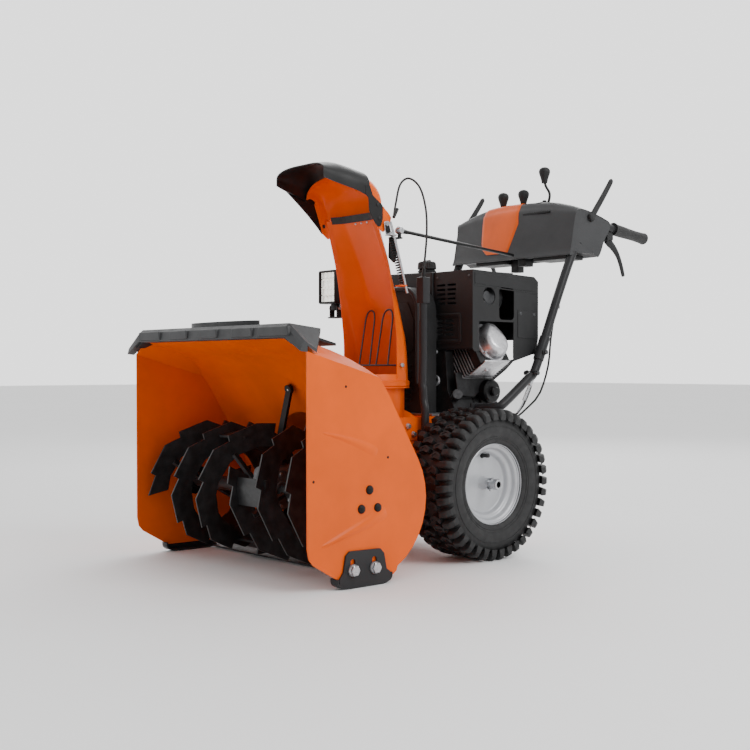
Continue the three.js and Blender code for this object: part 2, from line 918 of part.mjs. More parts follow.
// ---------------------------------------------------------------- engine
const plateTop = caseTop + gap + enginePlate;
piece(
  machine,
  "engine_plate",
  cut(
    join(
      box([-caseHalfWidth + 4, caseHalfWidth - 4], [caseFront + 6, 262], [caseTop + gap, plateTop]),
      box([-60, 60], [250, 262], [caseTop - 40, plateTop]),
    ),
    box([-beltSlot.half, beltSlot.half], [beltSlot.front, beltSlot.back], [360, 400]),
  ),
  castAlloy(),
);

// Crankcase with the inclined finned cylinder cast onto it.
const crankcase = { half: 108, back: 228, base: plateTop + gap };
const crankMiddle = [30, (crankY + crankcase.back) / 2, 478];
const lean = [Math.cos(radians(cylinderTilt)), Math.sin(radians(cylinderTilt))];
// A point a distance along the cylinder's axis, and a distance square to it, at a place along Y.
const onCylinder = (along, across, y) => [
  crankMiddle[0] + lean[0] * along - lean[1] * across,
  y,
  crankMiddle[2] + lean[1] * along + lean[0] * across,
];
function cylinderBlock(from, to, halfWidth, halfDepth) {
  return loft(
    [crankMiddle[1] - halfDepth, crankMiddle[1] + halfDepth].map((y) => [
      onCylinder(from, -halfWidth, y),
      onCylinder(to, -halfWidth, y),
      onCylinder(to, halfWidth, y),
      onCylinder(from, halfWidth, y),
    ]),
  );
}
const fins = Array.from({ length: 8 }, (_, i) =>
  cylinderBlock(72 + i * 10, 75.5 + i * 10, 50, 60),
);
const crankBody = plate(
  "y",
  [
    [-crankcase.half, crankcase.base + 14],
    [-crankcase.half + 10, crankcase.base],
    [crankcase.half + 14, crankcase.base],
    [crankcase.half + 26, crankcase.base + 12],
    [crankcase.half - 2, crankcase.base + 60],
    [crankcase.half - 12, 560],
    [40, 590],
    [-60, 590],
    [-crankcase.half, 545],
  ],
  crankY,
  crankcase.back,
);
const crankNose = bar([0, crankY + 2, crankZ], [0, crankY - 12, crankZ], 30, 20);
const oilNeck = bar([98, crankY + 28, 425], [142, crankY + 4, 440], 15, 12);
const crankBore = bar([0, crankY - 30, crankZ], [0, crankY + 50, crankZ], 12.5 + running, 16);
piece(
  machine,
  "engine_block",
  cut(
    join(
      crankBody,
      cylinderBlock(20, 152, 40, 46),
      ...fins,
      cylinderBlock(150, 176, 52, 62),
      crankNose,
      oilNeck,
    ),
    crankBore,
  ),
  castAlloy(),
);

// Valve cover: a drop-shaped dome on the end of the cylinder head.
const coverStart = 176 + gap;
const coverRing = (grow, along) =>
  [
    [-44, 10],
    [-38, -20],
    [-14, -40],
    [16, -40],
    [38, -22],
    [45, 6],
    [30, 42],
    [8, 60],
    [-12, 58],
    [-34, 36],
  ].map(([a, b]) => onCylinder(along, b * grow - 4, crankMiddle[1] + a * grow));
piece(
  machine,
  "valve_cover",
  loft([
    coverRing(1.05, coverStart),
    coverRing(1.05, coverStart + 6),
    coverRing(0.94, coverStart + 8),
    coverRing(0.86, coverStart + 34),
    coverRing(0.6, coverStart + 44),
  ]),
  castAlloy(),
);

// Engine cover: an open-bottomed plastic box round the cylinder head and muffler.
const cover = { inner: 56, outer: 210, front: 38, back: 311, low: 592, top: 787, wall: 3 };
const coverSide = [
  [cover.front, 569],
  [cover.front + 6, 560],
  [64, 560],
  [64, cover.low + 52],
  [205, cover.low + 52],
  [205, 532],
  [cover.back - 12, 556],
  [cover.back, 597],
  [cover.back, cover.top - 104],
  [cover.back, cover.top - 22],
  [cover.back - 18, cover.top - 9],
  [cover.front, cover.top],
];
const coverBody = plate("x", coverSide, cover.inner, cover.outer);
const coverHollow = plate(
  "x",
  [
    [cover.front + cover.wall, 500],
    [cover.back - cover.wall, 500],
    [cover.back - cover.wall, cover.top - 24],
    [cover.back - 19, cover.top - 12],
    [cover.front + cover.wall, cover.top - cover.wall],
  ],
  cover.inner + cover.wall,
  cover.outer - cover.wall,
);
const coverEye = bar([190, 104, 715], [220, 104, 715], 25, 20);
const coverSlot = plate("x", roundedRectangle([176, 696], 62, 92, 12), 200, 220);
// Louvres in the front wall: two groups of two columns.
const louvres = [];
for (const [groupZ, groupX] of [
  [722, 106],
  [634, 96],
]) {
  for (let row = 0; row < 5; row++) {
    for (const column of [-21, 21]) {
      const [x, z] = [groupX + column, groupZ + (row - 2) * 13];
      louvres.push(box([x - 17, x + 17], [cover.front - 8, cover.front + 8], [z - 3, z + 3]));
    }
  }
}
const blockRoom = box(
  [cover.inner - 1, crankcase.half + 14],
  [cover.front + cover.wall, cover.back + 1],
  [500, 596],
);
piece(
  machine,
  "engine_shroud",
  cut(
    cut(coverBody, coverHollow, coverEye, coverSlot, blockRoom, ...louvres),
    cylinderBlock(-20, 184, 60, 70),
  ),
  blackPlastic(),
);

// Muffler inside the cover, above the cylinder.
piece(
  machine,
  "muffler",
  join(
    bar([132, 90, 716], [132, 196, 716], 44, 20),
    bar([132, 104, 716], [200, 104, 716], 14, 14),
    bar([132, 150, 680], [120, 150, 652], 12, 12),
  ),
  darkSteel(),
);

// Fuel tank on the other side of the engine, with its cap's neck.
const tank = { outer: -205, inner: cover.inner - gap, low: 600, top: 792 };
piece(
  machine,
  "fuel_tank",
  join(
    plate(
      "y",
      [
        [tank.outer, tank.low + 24],
        [tank.outer + 24, tank.low],
        [tank.inner, tank.low],
        [tank.inner, tank.top - 4],
        [tank.outer + 40, tank.top],
        [tank.outer, tank.top - 34],
      ],
      30,
      228,
    ),
    bar([0, 63, tank.top - 10], [0, 63, tank.top + 8], 20, 20),
  ),
  blackPlastic(),
);
const capBase = tank.top + 8 + gap;
piece(
  groupAt(machine, 0, 63, capBase),
  "fuel_cap",
  cut(
    turned(
      [
        [0, 0],
        [27, 0],
        [28, 4],
        [26, 19],
        [22, 23],
        [0, 23],
      ],
      [0, 0, 0],
      [0, 0, 1],
      24,
    ),
    ...Array.from({ length: 6 }, (_, i) => {
      const angle = (2 * Math.PI * i) / 6;
      const [x, y] = [28.5 * Math.cos(angle), 28.5 * Math.sin(angle)];
      return bar([x, y, 5], [x, y, 30], 3, 4);
    }),
  ),
  blackPlastic(),
);

// Belt cover between the chute and the engine: an arched shell, open below for the belt.
const beltCover = { half: 88, front: -44, back: 16, top: 744, bend: 72 };
const archOutline = (inset) => [
  [beltCover.half - inset, plateTop + gap - (inset ? 20 : 0)],
  ...arc(
    [beltCover.half - beltCover.bend, beltCover.top - beltCover.bend],
    beltCover.bend - inset,
    0,
    90,
    5,
  ),
  ...arc(
    [-beltCover.half + beltCover.bend, beltCover.top - beltCover.bend],
    beltCover.bend - inset,
    90,
    180,
    5,
  ),
  [-beltCover.half + inset, plateTop + gap - (inset ? 20 : 0)],
];
piece(
  machine,
  "belt_cover",
  cut(
    plate("y", archOutline(0), beltCover.front, beltCover.back),
    plate("y", archOutline(3), beltCover.front + 3, beltCover.back - 3),
    bar([0, 0, crankZ], [0, 40, crankZ], 16, 20),
  ),
  blackPlastic(),
);
piece(
  groupAt(machine, 0, pulleyY, crankZ),
  "engine_pulley",
  join(
    turned(pulleyProfile(enginePulleyRadius), [0, 0, 0], [0, 1, 0], 24),
    bar([0, 0, 0], [0, crankY + 30 - pulleyY, 0], 12.5, 16),
  ),
  darkSteel(),
);

// Belt round both pulleys: the loop between two outlines that wrap the pair of circles.
function wrap(upper, lower) {
  const height = crankZ - impellerZ;
  const spread = (Math.asin((lower - upper) / height) * 180) / Math.PI;
  return [
    ...arc([0, crankZ], upper, spread, 180 - spread, 10),
    ...arc([0, impellerZ], lower, 180 - spread, 360 + spread, 18),
  ];
}
const [seat, back] = [gap + 1, gap + 8];
piece(
  machine,
  "drive_belt",
  plate(
    "y",
    wrap(enginePulleyRadius - grooveDepth + back, augerPulleyRadius - grooveDepth + back),
    pulleyY - 4,
    pulleyY + 4,
    [wrap(enginePulleyRadius - grooveDepth + seat, augerPulleyRadius - grooveDepth + seat)],
  ),
  softRubber(),
);

// Recoil starter handle at the back of the engine, held against its eyelet.
const recoil = groupAt(machine, -40, crankcase.back, 520);
piece(
  recoil,
  "recoil_handle",
  join(
    bar([-34, 34, 0], [34, 34, 0], 9, 14),
    bar([0, gap, 0], [0, 34, 0], 7, 12, 9),
  ),
  blackPlastic(),
);

// ---------------------------------------------------------------- support posts and work light
const postX = 152;
const postTop = 757;
const postRadius = 11;
const postFootX = caseHalfWidth + gap + postRadius + 3;
const lampTilt = { x: -207, y: -112, z: 690 };
for (const [name, side] of sides) {
  const post = tube(
    [
      [side * postFootX, -103, 314],
      [side * postFootX, -102, 396],
      [side * (postFootX - 8), -100, 425],
      [side * (postX + 4), -99, 455],
      [side * postX, -98, 480],
      [side * postX, -95, 560],
      [side * postX, -95, postTop],
    ],
    postRadius,
    { steps: 15, sides: 10 },
  );
  const foot = box(
    [side * (caseHalfWidth + gap), side * postFootX],
    [-116, -86],
    [314, 346],
  );
  const parts = [post, foot];
  if (side > 0) {
    parts.push(box([side * (postX - 14), side * (postX + 14)], [-108, -82], [690, postTop + 4]));
  } else {
    parts.push(
      plate(
        "z",
        [
          [-postX + 8, -104],
          [-postX + 8, -86],
          [lampTilt.x - 22, lampTilt.y + 14],
          [lampTilt.x - 22, lampTilt.y - 14],
          [lampTilt.x + 22, lampTilt.y - 14],
        ],
        660,
        664,
      ),
      ...[-18, 14].map((x) =>
        box(
          [lampTilt.x + x, lampTilt.x + x + 4],
          [lampTilt.y - 9, lampTilt.y + 9],
          [662, lampTilt.z + 9],
        ),
      ),
    );
  }
  piece(machine, "support_post_" + name, join(...parts), blackPaint());
}

// Work light: a finned square housing with a lens in its front, hung between the bracket's ears.
const lamp = groupAt(machine, lampTilt.x, lampTilt.y, lampTilt.z);
const lampHalf = 39;
const lampLow = 12;
const lampFins = Array.from({ length: 5 }, (_, i) => {
  const x = -28 + i * 14;
  return box([x - 2, x + 2], [-2, 14], [lampLow + 8, lampLow + 88]);
});
const lampHead = cut(
  box([-lampHalf, lampHalf], [-34, 0], [lampLow, lampLow + 98]),
  box([-lampHalf + 6, lampHalf - 6], [-40, -26], [lampLow + 6, lampLow + 92]),
);
piece(
  lamp,
  "work_light",
  join(
    lampHead,
    ...lampFins,
    box([-13, 13], [-8, 8], [-7, lampLow + 4]),
  ),
  blackPaint(),
);

// ---------------------------------------------------------------- chute and deflector
const chute = groupAt(machine, 0, chuteY, 0);
const chuteBase = ringZ + gap;
const chuteRing = cut(
  bar([0, 0, chuteBase], [0, 0, chuteBase + ringThickness], ringRadius, 28),
  bar([0, 0, chuteBase - 5], [0, 0, chuteBase + 30], neckRadius - drumWall, 28),
);
const collar = cut(
  bar([0, 0, chuteBase + 10], [0, 0, chuteBase + 34], ringRadius - 8, 28),
  bar([0, 0, chuteBase - 5], [0, 0, chuteBase + 40], neckRadius - drumWall, 28),
);
// The channel's level section: a back wall, a slanting cheek on each side of it, and two side
// walls that end at the channel's open front. front and back are places along Y.
function channel(z, front, back, half) {
  const t = chuteWall;
  const cheekEnd = Math.max(back - cheekDepth, front + 12);
  const outline = (inset) => [
    [half - inset, front],
    [half - 8 - inset, cheekEnd - inset / 2],
    [backHalf - inset / 2, back - inset],
    [-backHalf + inset / 2, back - inset],
    [-half + 8 + inset, cheekEnd - inset / 2],
    [-half + inset, front],
  ];
  return [...outline(0), ...outline(t).reverse()].map(([x, y]) => [x, y - chuteY, z]);
}
const channelFloor = chuteBase + 12;
const channelShell = loft([
  channel(channelFloor, -157, -66, chuteHalfWidth + 2),
  channel(577, -157, -74, chuteHalfWidth + 2),
  channel(643, -163, -90, chuteHalfWidth + 2),
  channel(720, -174, -113, chuteHalfWidth + 1),
  channel(795, -188, -140, chuteHalfWidth),
  channel(873, -212, -176, chuteHalfWidth - 4),
  channel(925, -229, -203, chuteHalfWidth - 6),
]);
// The turning rod's ball stands on a tab bent out of an arm beside the chute, so that the rod
// passes over the arm whichever way the chute is turned.
const ball = { x: 132, y: -168 - chuteY, z: 884, radius: 11 };
const tabZ = ball.z - ball.radius - 11;
const rodArm = join(
  plate(
    "x",
    [
      [-30, 800],
      [14, 780],
      [24, 848],
      [12, tabZ + 4],
      [-10, tabZ + 4],
    ],
    chuteHalfWidth - 2,
    chuteHalfWidth + 3,
  ),
  box([chuteHalfWidth, ball.x + 9], [ball.y - 9, ball.y + 9], [tabZ, tabZ + 4]),
);
const ballStud = bar(
  [ball.x + 4, ball.y, tabZ + 2],
  [ball.x + 4, ball.y, ball.z - ball.radius - gap],
  5,
  10,
);
piece(chute, "chute", join(chuteRing, collar, channelShell, rodArm, ballStud), orangePaint());

// Wire guard: two tall hoops that lean back from a cross wire between the channel's side walls.
const guard = { y: 32, z: 521, height: 155, lean: 26, wire: 2.5 };
const hoops = [
  [-43, 20],
  [32, 22],
].map(([x, half]) => {
  const at = (across, share) => [
    x + across * half,
    guard.y + guard.lean * share,
    guard.z + guard.height * share,
  ];
  return tube(
    [
      at(-1, 0),
      at(-1, 0.45),
      at(-1, 0.84),
      at(-0.7, 0.96),
      at(0, 1),
      at(0.7, 0.96),
      at(1, 0.84),
      at(1, 0.45),
      at(1, 0),
    ],
    guard.wire,
    { sides: 5, steps: 14 },
  );
});
const crossHalf = chuteHalfWidth - 5.5;
const crossWire = bar([-crossHalf, guard.y, guard.z], [crossHalf, guard.y, guard.z], 3, 8);
piece(chute, "wire_guard", join(crossWire, ...hoops), darkSteel());

// Deflector: a hood hinged across the chute's top, and the long curved tip bolted over it. Both are
// drawn about the hinge.
const hood = groupAt(chute, 0, hingeY - chuteY, hingeZ);
const hoodWall = 3;
const hoodHalf = 119;
const cheekHeight = 34;
// An arched section of the hood round a point, leaning by an angle.
function hoodRing([y, z], tilt, half, rise) {
  const [c, s] = [Math.cos(radians(tilt)), Math.sin(radians(tilt))];
  const row = (inset) => [
    [-half + inset, -cheekHeight],
    [-half + inset, -8],
    [-half * 0.72 + inset * 0.7, rise * 0.6 - inset],
    [0, rise - inset],
    [half * 0.72 - inset * 0.7, rise * 0.6 - inset],
    [half - inset, -8],
    [half - inset, -cheekHeight],
  ];
  return [...row(0), ...row(hoodWall).reverse()].map(([x, h]) => [x, y - s * h, z + c * h]);
}
const hoodShell = loft([
  hoodRing([4, 8], -80, hoodHalf, 16),
  hoodRing([0, 44], -62, hoodHalf, 22),
  hoodRing([-18, 72], -46, hoodHalf - 3, 26),
  hoodRing([-48, 88], -28, hoodHalf - 7, 27),
  hoodRing([-74, 86], -16, hoodHalf - 11, 27),
]);
// A flat cheek on each side of the hood, with a hinge pin that ends short of the chute's wall.
const hoodCheek = [
  [-48, 48],
  [-26, -12],
  [-18, -35],
  [3, -51],
  [28, -25],
  [32, -7],
  [21, 5],
  [-2, 23],
  [-32, 58],
];
const hoodSides = [-1, 1].flatMap((side) => {
  const [inner, outer] = [side * (hoodHalf - hoodWall), side * hoodHalf];
  return [
    plate("x", hoodCheek, Math.min(inner, outer), Math.max(inner, outer)),
    bar([side * (chuteHalfWidth - 6 + gap), 0, 0], [side * hoodHalf, 0, 0], 6, 10),
  ];
});
piece(hood, "deflector_hood", join(hoodShell, ...hoodSides), orangePaint());

// An arched section of the tip at a place along Y, with the heights of its lower edge, of its
// shoulder and of its middle, and how far its middle stands back.
function tipRing(y, low, shoulder, top, half, back) {
  const row = (inset) => [
    [-half + inset, y, low],
    [-half + inset, y, shoulder],
    [-half * 0.72 + inset * 0.7, y + back * 0.6, shoulder + (top - shoulder) * 0.7 - inset],
    [0, y + back, top - inset],
    [half * 0.72 - inset * 0.7, y + back * 0.6, shoulder + (top - shoulder) * 0.7 - inset],
    [half - inset, y, shoulder],
    [half - inset, y, low],
  ];
  return [...row(0), ...row(hoodWall).reverse()];
}
const tipHalf = hoodHalf + gap + hoodWall;
const tipShell = loft([
  tipRing(-48, 41, 82, 121, tipHalf, 4),
  tipRing(-85, 54, 83, 130, tipHalf - 3, 4),
  tipRing(-128, 65, 92, 136, tipHalf - 10, 6),
  tipRing(-162, 73, 102, 132, tipHalf - 14, 8),
  tipRing(-188, 81, 112, 127, tipHalf - 18, 14),
]);
// A round-ended tab on each side of the tip, over the hood's cheek.
const tipTab = [
  [-62, 47],
  [-51, 38],
  [-48, 3],
  [-40, -10],
  [-26, -29],
  [-16, -37],
  [-8, -34],
  [-1, -15],
  [-1, 22],
  [-36, 45],
  [-48, 73],
  [-62, 73],
];
const tipTabs = [-1, 1].map((side) => {
  const [inner, outer] = [side * (tipHalf - hoodWall), side * tipHalf];
  return plate("x", tipTab, Math.min(inner, outer), Math.max(inner, outer));
});
piece(hood, "deflector_tip", join(tipShell, ...tipTabs), blackPlastic());

// Return spring beside the chute, from a tab on its side up to the hood.
piece(
  chute,
  "deflector_spring",
  bar([131, -22, 868], [133, 18, 742], 8, 12),
  blackPaint(),
);

// Turning rod from the ball on the chute back to the console.
const rodStart = { x: ball.x, y: ball.y, z: ball.z };
const turningRod = groupAt(chute, rodStart.x, rodStart.y, rodStart.z);
const rodEnd = [36 - rodStart.x, 392 - chuteY - rodStart.y, 860 - rodStart.z];
piece(
  turningRod,
  "chute_rod",
  join(
    turned(
      [
        [0, -9],
        [7, -8],
        [ball.radius, 0],
        [7, 8],
        [0, 9],
      ],
      [4, 0, 0],
      [1, 0, 0],
      14,
    ),
    bar([4, 0, 0], rodEnd, 5, 10),
    bar([4, 0, 0], [4 - 8, 40, -1.9], 8, 10, 5),
  ),
  blackPaint(),
);

// Deflector cable: up from its clamp on the left post, over in a loop and down to the hood.
piece(
  machine,
  "deflector_cable",
  tube(
    [
      [postX, -95, postTop + 6],
      [postX + 1, -90, 810],
      [postX, -82, 880],
      [postX - 6, -80, 950],
      [postX - 26, -84, 1010],
      [postX - 52, -100, 1036],
      [postX - 64, -122, 1018],
      [postX - 42, -158, 960],
      [postX - 22, -184, 918],
    ],
    3,
    { sides: 8, steps: 28 },
  ),
  softRubber(),
);

// ---------------------------------------------------------------- handles
const joint = [274, 507];
const bendTop = { x: handleX + 8, y: 446, z: 872 };
const gripStart = 577;
// Centre line of one handle tube, from the case up to the grip.
const handlePath = (side) => [
  [side * (caseHalfWidth + 4), 112, 399],
  [side * (caseHalfWidth + 28), 114, 400],
  [side * (handleX - 8), 126, 404],
  [side * handleX, 152, 420],
  [side * handleX, joint[0] - 34, joint[1] - 27],
  [side * handleX, joint[0], joint[1]],
  [side * (handleX + 1), 326, 622],
  [side * (handleX + 3), 375, 732],
  [side * (handleX + 5), 426, 838],
  [side * bendTop.x, bendTop.y, bendTop.z],
  [side * (handleX + 17), 484, 918],
  [side * (gripX - 6), 530, 936],
  [side * gripX, gripStart, gripZ],
  [side * gripX, gripStart + gripLength, gripZ - 19],
];
for (const [name, side] of sides) {
  const line = handlePath(side);
  const clampBolts = [
    [joint[0] - 14, joint[1] - 8],
    [joint[0] + 22, joint[1] + 52],
  ].map(([y, z]) => bar([side * (handleX - 19), y, z], [side * (handleX + 19), y, z], 6, 6));
  piece(
    machine,
    "handle_" + name,
    join(
      tube(line, tubeRadius, { steps: 26, sides: 10 }),
      box(
        [side * (caseHalfWidth + gap), side * (caseHalfWidth + 7)],
        [88, 136],
        [caseTop - 50, 414],
      ),
      ...clampBolts,
    ),
    blackPaint(),
  );
  const gripGroup = groupAt(machine, side * gripX, 0, 0);
  const from = [0, gripStart + 14, gripZ - 1.5];
  const to = [0, gripStart + gripLength + 6, gripZ - 20];
  piece(
    gripGroup,
    "grip_" + name,
    cut(
      bar(from, to, 19, 18),
      bar(
        [0, gripStart - 10, gripZ + 1],
        [0, gripStart + gripLength + gap, gripZ - 19],
        tubeRadius + running,
        14,
      ),
    ),
    softRubber(),
  );
}

// ---------------------------------------------------------------- console
// Sections across the console, each from its lower front edge over the top to its lower back edge.
const consoleSection = (x, flare, front, frontTop, crown, rear, inset) => {
  const out = x + Math.sign(x) * flare;
  return [
    [x, front + inset, consoleBottom - inset * 9],
    [x, 433 + inset, frontTop - inset],
    [x + Math.sign(x) * flare * 0.3, 466, crown - inset],
    [out, rear - inset, crown - 18 - inset],
    [out, rear - 36 - inset, crown - 90],
    [x + Math.sign(x) * flare * 0.5, 520 - inset, consoleBottom - inset * 9],
  ];
};
const consoleHalf = 245;
const consoleRings = (inset) => [
  consoleSection(-consoleHalf + inset, 42, 412, 978, 984, 560, inset),
  consoleSection(-150, 6, 404, 1002, 1020, 590, inset),
  consoleSection(-1, 0, 400, 1008, 1026, 596, inset),
  consoleSection(150, 6, 404, 1002, 1020, 590, inset),
  consoleSection(consoleHalf - inset, 42, 412, 978, 984, 560, inset),
];
const leverSwing = 22; // degrees each way
const levers = [
  ["speed_lever", -leverSpacing, 1053, 0],
  ["deflector_lever", 0, 1053, 0],
  ["chute_lever", leverSpacing, 1115, 1],
];
const leverSlots = levers.map(([, x]) =>
  box([x - 9, x + 9], [leverY - 44, leverY + 44], [leverPivotZ + 20, 1060]),
);
const rodNotch = box([-118, 62], [380, 450], [consoleBottom - 20, consoleBottom + 28]);
const paddleX = 268;
const paddlePivot = [482, 962];
const paddleSlots = sides.map(([, side]) =>
  box([side * (paddleX - 9), side * (paddleX + 60)], [445, 600], [consoleBottom - 30, 1010]),
);
const tubeRoom = sides.map(([, side]) =>
  tube(handlePath(side).slice(7), tubeRadius + 4, { steps: 20, sides: 10 }),
);
const consoleShell = cut(
  loft(consoleRings(0)),
  loft(consoleRings(4)),
  ...leverSlots,
  rodNotch,
  ...paddleSlots,
  ...tubeRoom,
);
const panelCut = plate(
  "y",
  [
    [-92, 1040],
    [36, 1040],
    [34, 985],
    [10, 884],
    [-70, 878],
    [-92, 930],
  ],
  300,
  458,
);
const tightPanel = plate(
  "y",
  [
    [-92 + gap, 1040],
    [36 - gap, 1040],
    [34 - gap, 985],
    [10 - gap, 884 + gap],
    [-70 + gap, 878 + gap],
    [-92 + gap, 930],
  ],
  300,
  458 - gap,
);
piece(machine, "console_shell", cut(consoleShell, panelCut), greyPlastic());
piece(machine, "console_panel", consoleShell.intersect(tightPanel), orangePaint());

for (const [name, x, knobZ, tall] of levers) {
  const lever = groupAt(machine, x, leverY, leverPivotZ);
  const knob = knobZ - leverPivotZ;
  const low = knob - (tall ? 30 : 28);
  const head = turned(
    [
      [0, low],
      [8, low],
      [15, knob - 6],
      [17.5, knob + 4],
      [14, knob + 14],
      [6, knob + 19],
      [0, knob + 20],
    ],
    [0, 0, 0],
    [0, 0, 1],
    12,
  );
  const stem = tube(
    tall
      ? [
          [0, 0, 0],
          [0, 0, 80],
          [20, 0, 112],
          [0, 0, low + 6],
        ]
      : [
          [0, 0, 0],
          [0, 0, low / 2],
          [0, 0, low + 6],
        ],
    4,
    { sides: 8, steps: 4 },
  );
  piece(lever, name, join(stem, head, bar([-12, 0, 0], [12, 0, 0], 9, 8)), blackPlastic());
}

// Clutch paddles above the grips and steering triggers below them.
for (const [name, side] of sides) {
  const paddle = groupAt(machine, side * paddleX, ...paddlePivot);
  const reach = [98, 124];
  const length = Math.hypot(...reach);
  const [ny, nz] = [-reach[1] / length, reach[0] / length];
  const paddleRing = (share, half, thick) => {
    const [y, z] = [reach[0] * share, reach[1] * share];
    return [
      [-half, y - ny * thick, z - nz * thick],
      [half, y - ny * thick, z - nz * thick],
      [half, y + ny * thick, z + nz * thick],
      [-half, y + ny * thick, z + nz * thick],
    ];
  };
  piece(
    paddle,
    "clutch_paddle_" + name,
    join(
      bar([-7, 0, 0], [7, 0, 0], 10, 14),
      loft([
        paddleRing(0, 6, 7),
        paddleRing(0.3, 7, 8),
        paddleRing(0.7, 7, 7),
        paddleRing(1, 6, 4),
      ]),
    ),
    blackPlastic(),
  );

  const trigger = groupAt(machine, side * gripX, 566, gripZ - 32);
  const blade = [
    [-8, 6],
    [8, 2],
    [40, -22],
    [66, -62],
    [84, -110],
    [74, -114],
    [54, -72],
    [28, -38],
    [-4, -28],
    [-12, -12],
  ];
  piece(
    trigger,
    "trigger_" + name,
    plate("x", blade, -6, 6),
    blackPlastic(),
  );
}

// Clutch and drive cables: down from the console past the left handle tube, joined by a clip.
piece(
  machine,
  "control_cables",
  join(
    tube(
      [
        [206, 470, 862],
        [207, 452, 800],
        [204, 400, 700],
        [206, 372, 600],
        [206, 360, 520],
        [200, 330, 440],
        [184, 292, 396],
        [166, 240, 358],
        [152, 190, 348],
        [150, caseBack + gap, 346],
      ],
      3,
      { sides: 8, steps: 24 },
    ),
    tube(
      [
        [192, 476, 862],
        [190, 458, 800],
        [196, 402, 700],
        [190, 356, 600],
        [186, 330, 520],
        [180, 304, 440],
        [158, 284, 384],
        [144, 232, 358],
        [132, 186, 348],
        [130, caseBack + gap, 346],
      ],
      3,
      { sides: 8, steps: 24 },
    ),
    box([190, 210], [394, 408], [690, 706]),
  ),
  softRubber(),
);

// ---------------------------------------------------------------- origin
// The origin is under the middle of the whole length, from the cap's front to the grips' ends.
const rearmost = gripStart + gripLength + 6 + 19 * Math.sin(radians(6.5));
machine.position.y = -(capFront + rearmost) / 2;

const snowblower = new THREE.Group();
snowblower.add(machine);
export default snowblower;
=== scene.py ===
"""Surfaces and finishes of a two stage snowblower, laid over its CAD frame.

Every size below is in millimetres and every place is given from the wheel axle: X across the machine
towards the operator's left, Y back towards the handles, Z up from the ground. place() turns them into
the frame's metres.
"""
import json
import math

import bmesh
import bpy
import numpy as np
from bpy.props import FloatProperty, FloatVectorProperty, IntProperty, PointerProperty
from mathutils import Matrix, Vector


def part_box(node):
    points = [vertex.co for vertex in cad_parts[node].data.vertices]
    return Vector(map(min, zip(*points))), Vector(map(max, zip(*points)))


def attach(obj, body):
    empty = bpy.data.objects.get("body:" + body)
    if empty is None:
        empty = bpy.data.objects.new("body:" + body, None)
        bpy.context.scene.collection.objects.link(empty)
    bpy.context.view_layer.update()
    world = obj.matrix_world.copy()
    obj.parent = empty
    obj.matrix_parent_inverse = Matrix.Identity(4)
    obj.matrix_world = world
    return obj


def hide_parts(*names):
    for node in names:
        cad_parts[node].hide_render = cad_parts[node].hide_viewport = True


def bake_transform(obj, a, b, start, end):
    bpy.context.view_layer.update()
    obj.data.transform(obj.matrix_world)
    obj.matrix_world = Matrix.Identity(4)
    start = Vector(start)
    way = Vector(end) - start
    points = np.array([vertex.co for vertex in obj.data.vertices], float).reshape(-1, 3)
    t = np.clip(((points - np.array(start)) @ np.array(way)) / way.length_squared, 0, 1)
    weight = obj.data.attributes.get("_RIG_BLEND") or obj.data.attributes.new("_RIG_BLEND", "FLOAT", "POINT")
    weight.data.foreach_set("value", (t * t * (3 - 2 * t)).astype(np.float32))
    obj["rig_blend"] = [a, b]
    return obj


bl_info = {
    "name": "Two Stage Snowblower",
    "version": (1, 0, 0),
    "blender": (4, 5, 0),
    "location": "3D View > Sidebar > Snowblower",
    "description": "Builds the surfaces, fasteners and finishes of a two stage snowblower",
    "category": "Object",
}

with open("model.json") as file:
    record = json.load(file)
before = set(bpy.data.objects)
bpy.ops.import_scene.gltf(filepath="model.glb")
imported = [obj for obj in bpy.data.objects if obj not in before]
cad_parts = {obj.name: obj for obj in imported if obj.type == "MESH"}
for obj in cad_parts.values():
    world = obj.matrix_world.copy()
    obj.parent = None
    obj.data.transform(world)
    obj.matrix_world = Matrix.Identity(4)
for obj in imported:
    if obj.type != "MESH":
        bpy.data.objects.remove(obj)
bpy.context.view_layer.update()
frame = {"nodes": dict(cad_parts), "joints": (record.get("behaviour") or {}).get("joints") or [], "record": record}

# ------------------------------------------------------------------ what the frame says
AXLE_Y = float(np.mean([corner[1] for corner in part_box("axle_left")])) * 1000
BODY_OF = {n: b for b, nodes in frame["record"]["behaviour"]["bodies"].items() for n in nodes}
SLOT_OF = {part["node"]: part["material_slot"] for part in frame["record"]["subparts"]}


def place(points):
    """Millimetres from the wheel axle, as metres in the frame."""
    return (np.asarray(points, float) + (0, AXLE_Y, 0)) / 1000


def node_box(node):
    """A CAD node's lowest and highest corners in millimetres from the wheel axle."""
    low, high = (np.array(corner) * 1000 - (0, AXLE_Y, 0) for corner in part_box(node))
    return low, high


def joint_place(name):
    """A joint's point in millimetres from the wheel axle."""
    joint = next(j for j in frame["joints"] if j["name"] == name)
    return np.array(joint["pos_m"]) * 1000 - (0, AXLE_Y, 0)


WHEEL_Z = float(joint_place("wheel_left_spin")[2])
AUGER_Y, AUGER_Z = (float(v) for v in joint_place("auger_spin")[1:])
CHUTE_Y = float(joint_place("chute_turn")[1])
HINGE_Y, HINGE_Z = (float(v) for v in joint_place("deflector_tilt")[1:])
HOUSING_HALF = 385.0  # outside of the side plates
SIDES = (("left", 1), ("right", -1))


# ------------------------------------------------------------------ settings a user would change
def size(name, description, default, low=0.0, high=1000.0):
    """A length in millimetres."""
    return FloatProperty(name=name, description=description, default=default, min=low, max=high)


def colour(name, description, default):
    """A linear colour."""
    return FloatVectorProperty(
        name=name, description=description, default=default, subtype="COLOR", size=3, min=0, max=1
    )


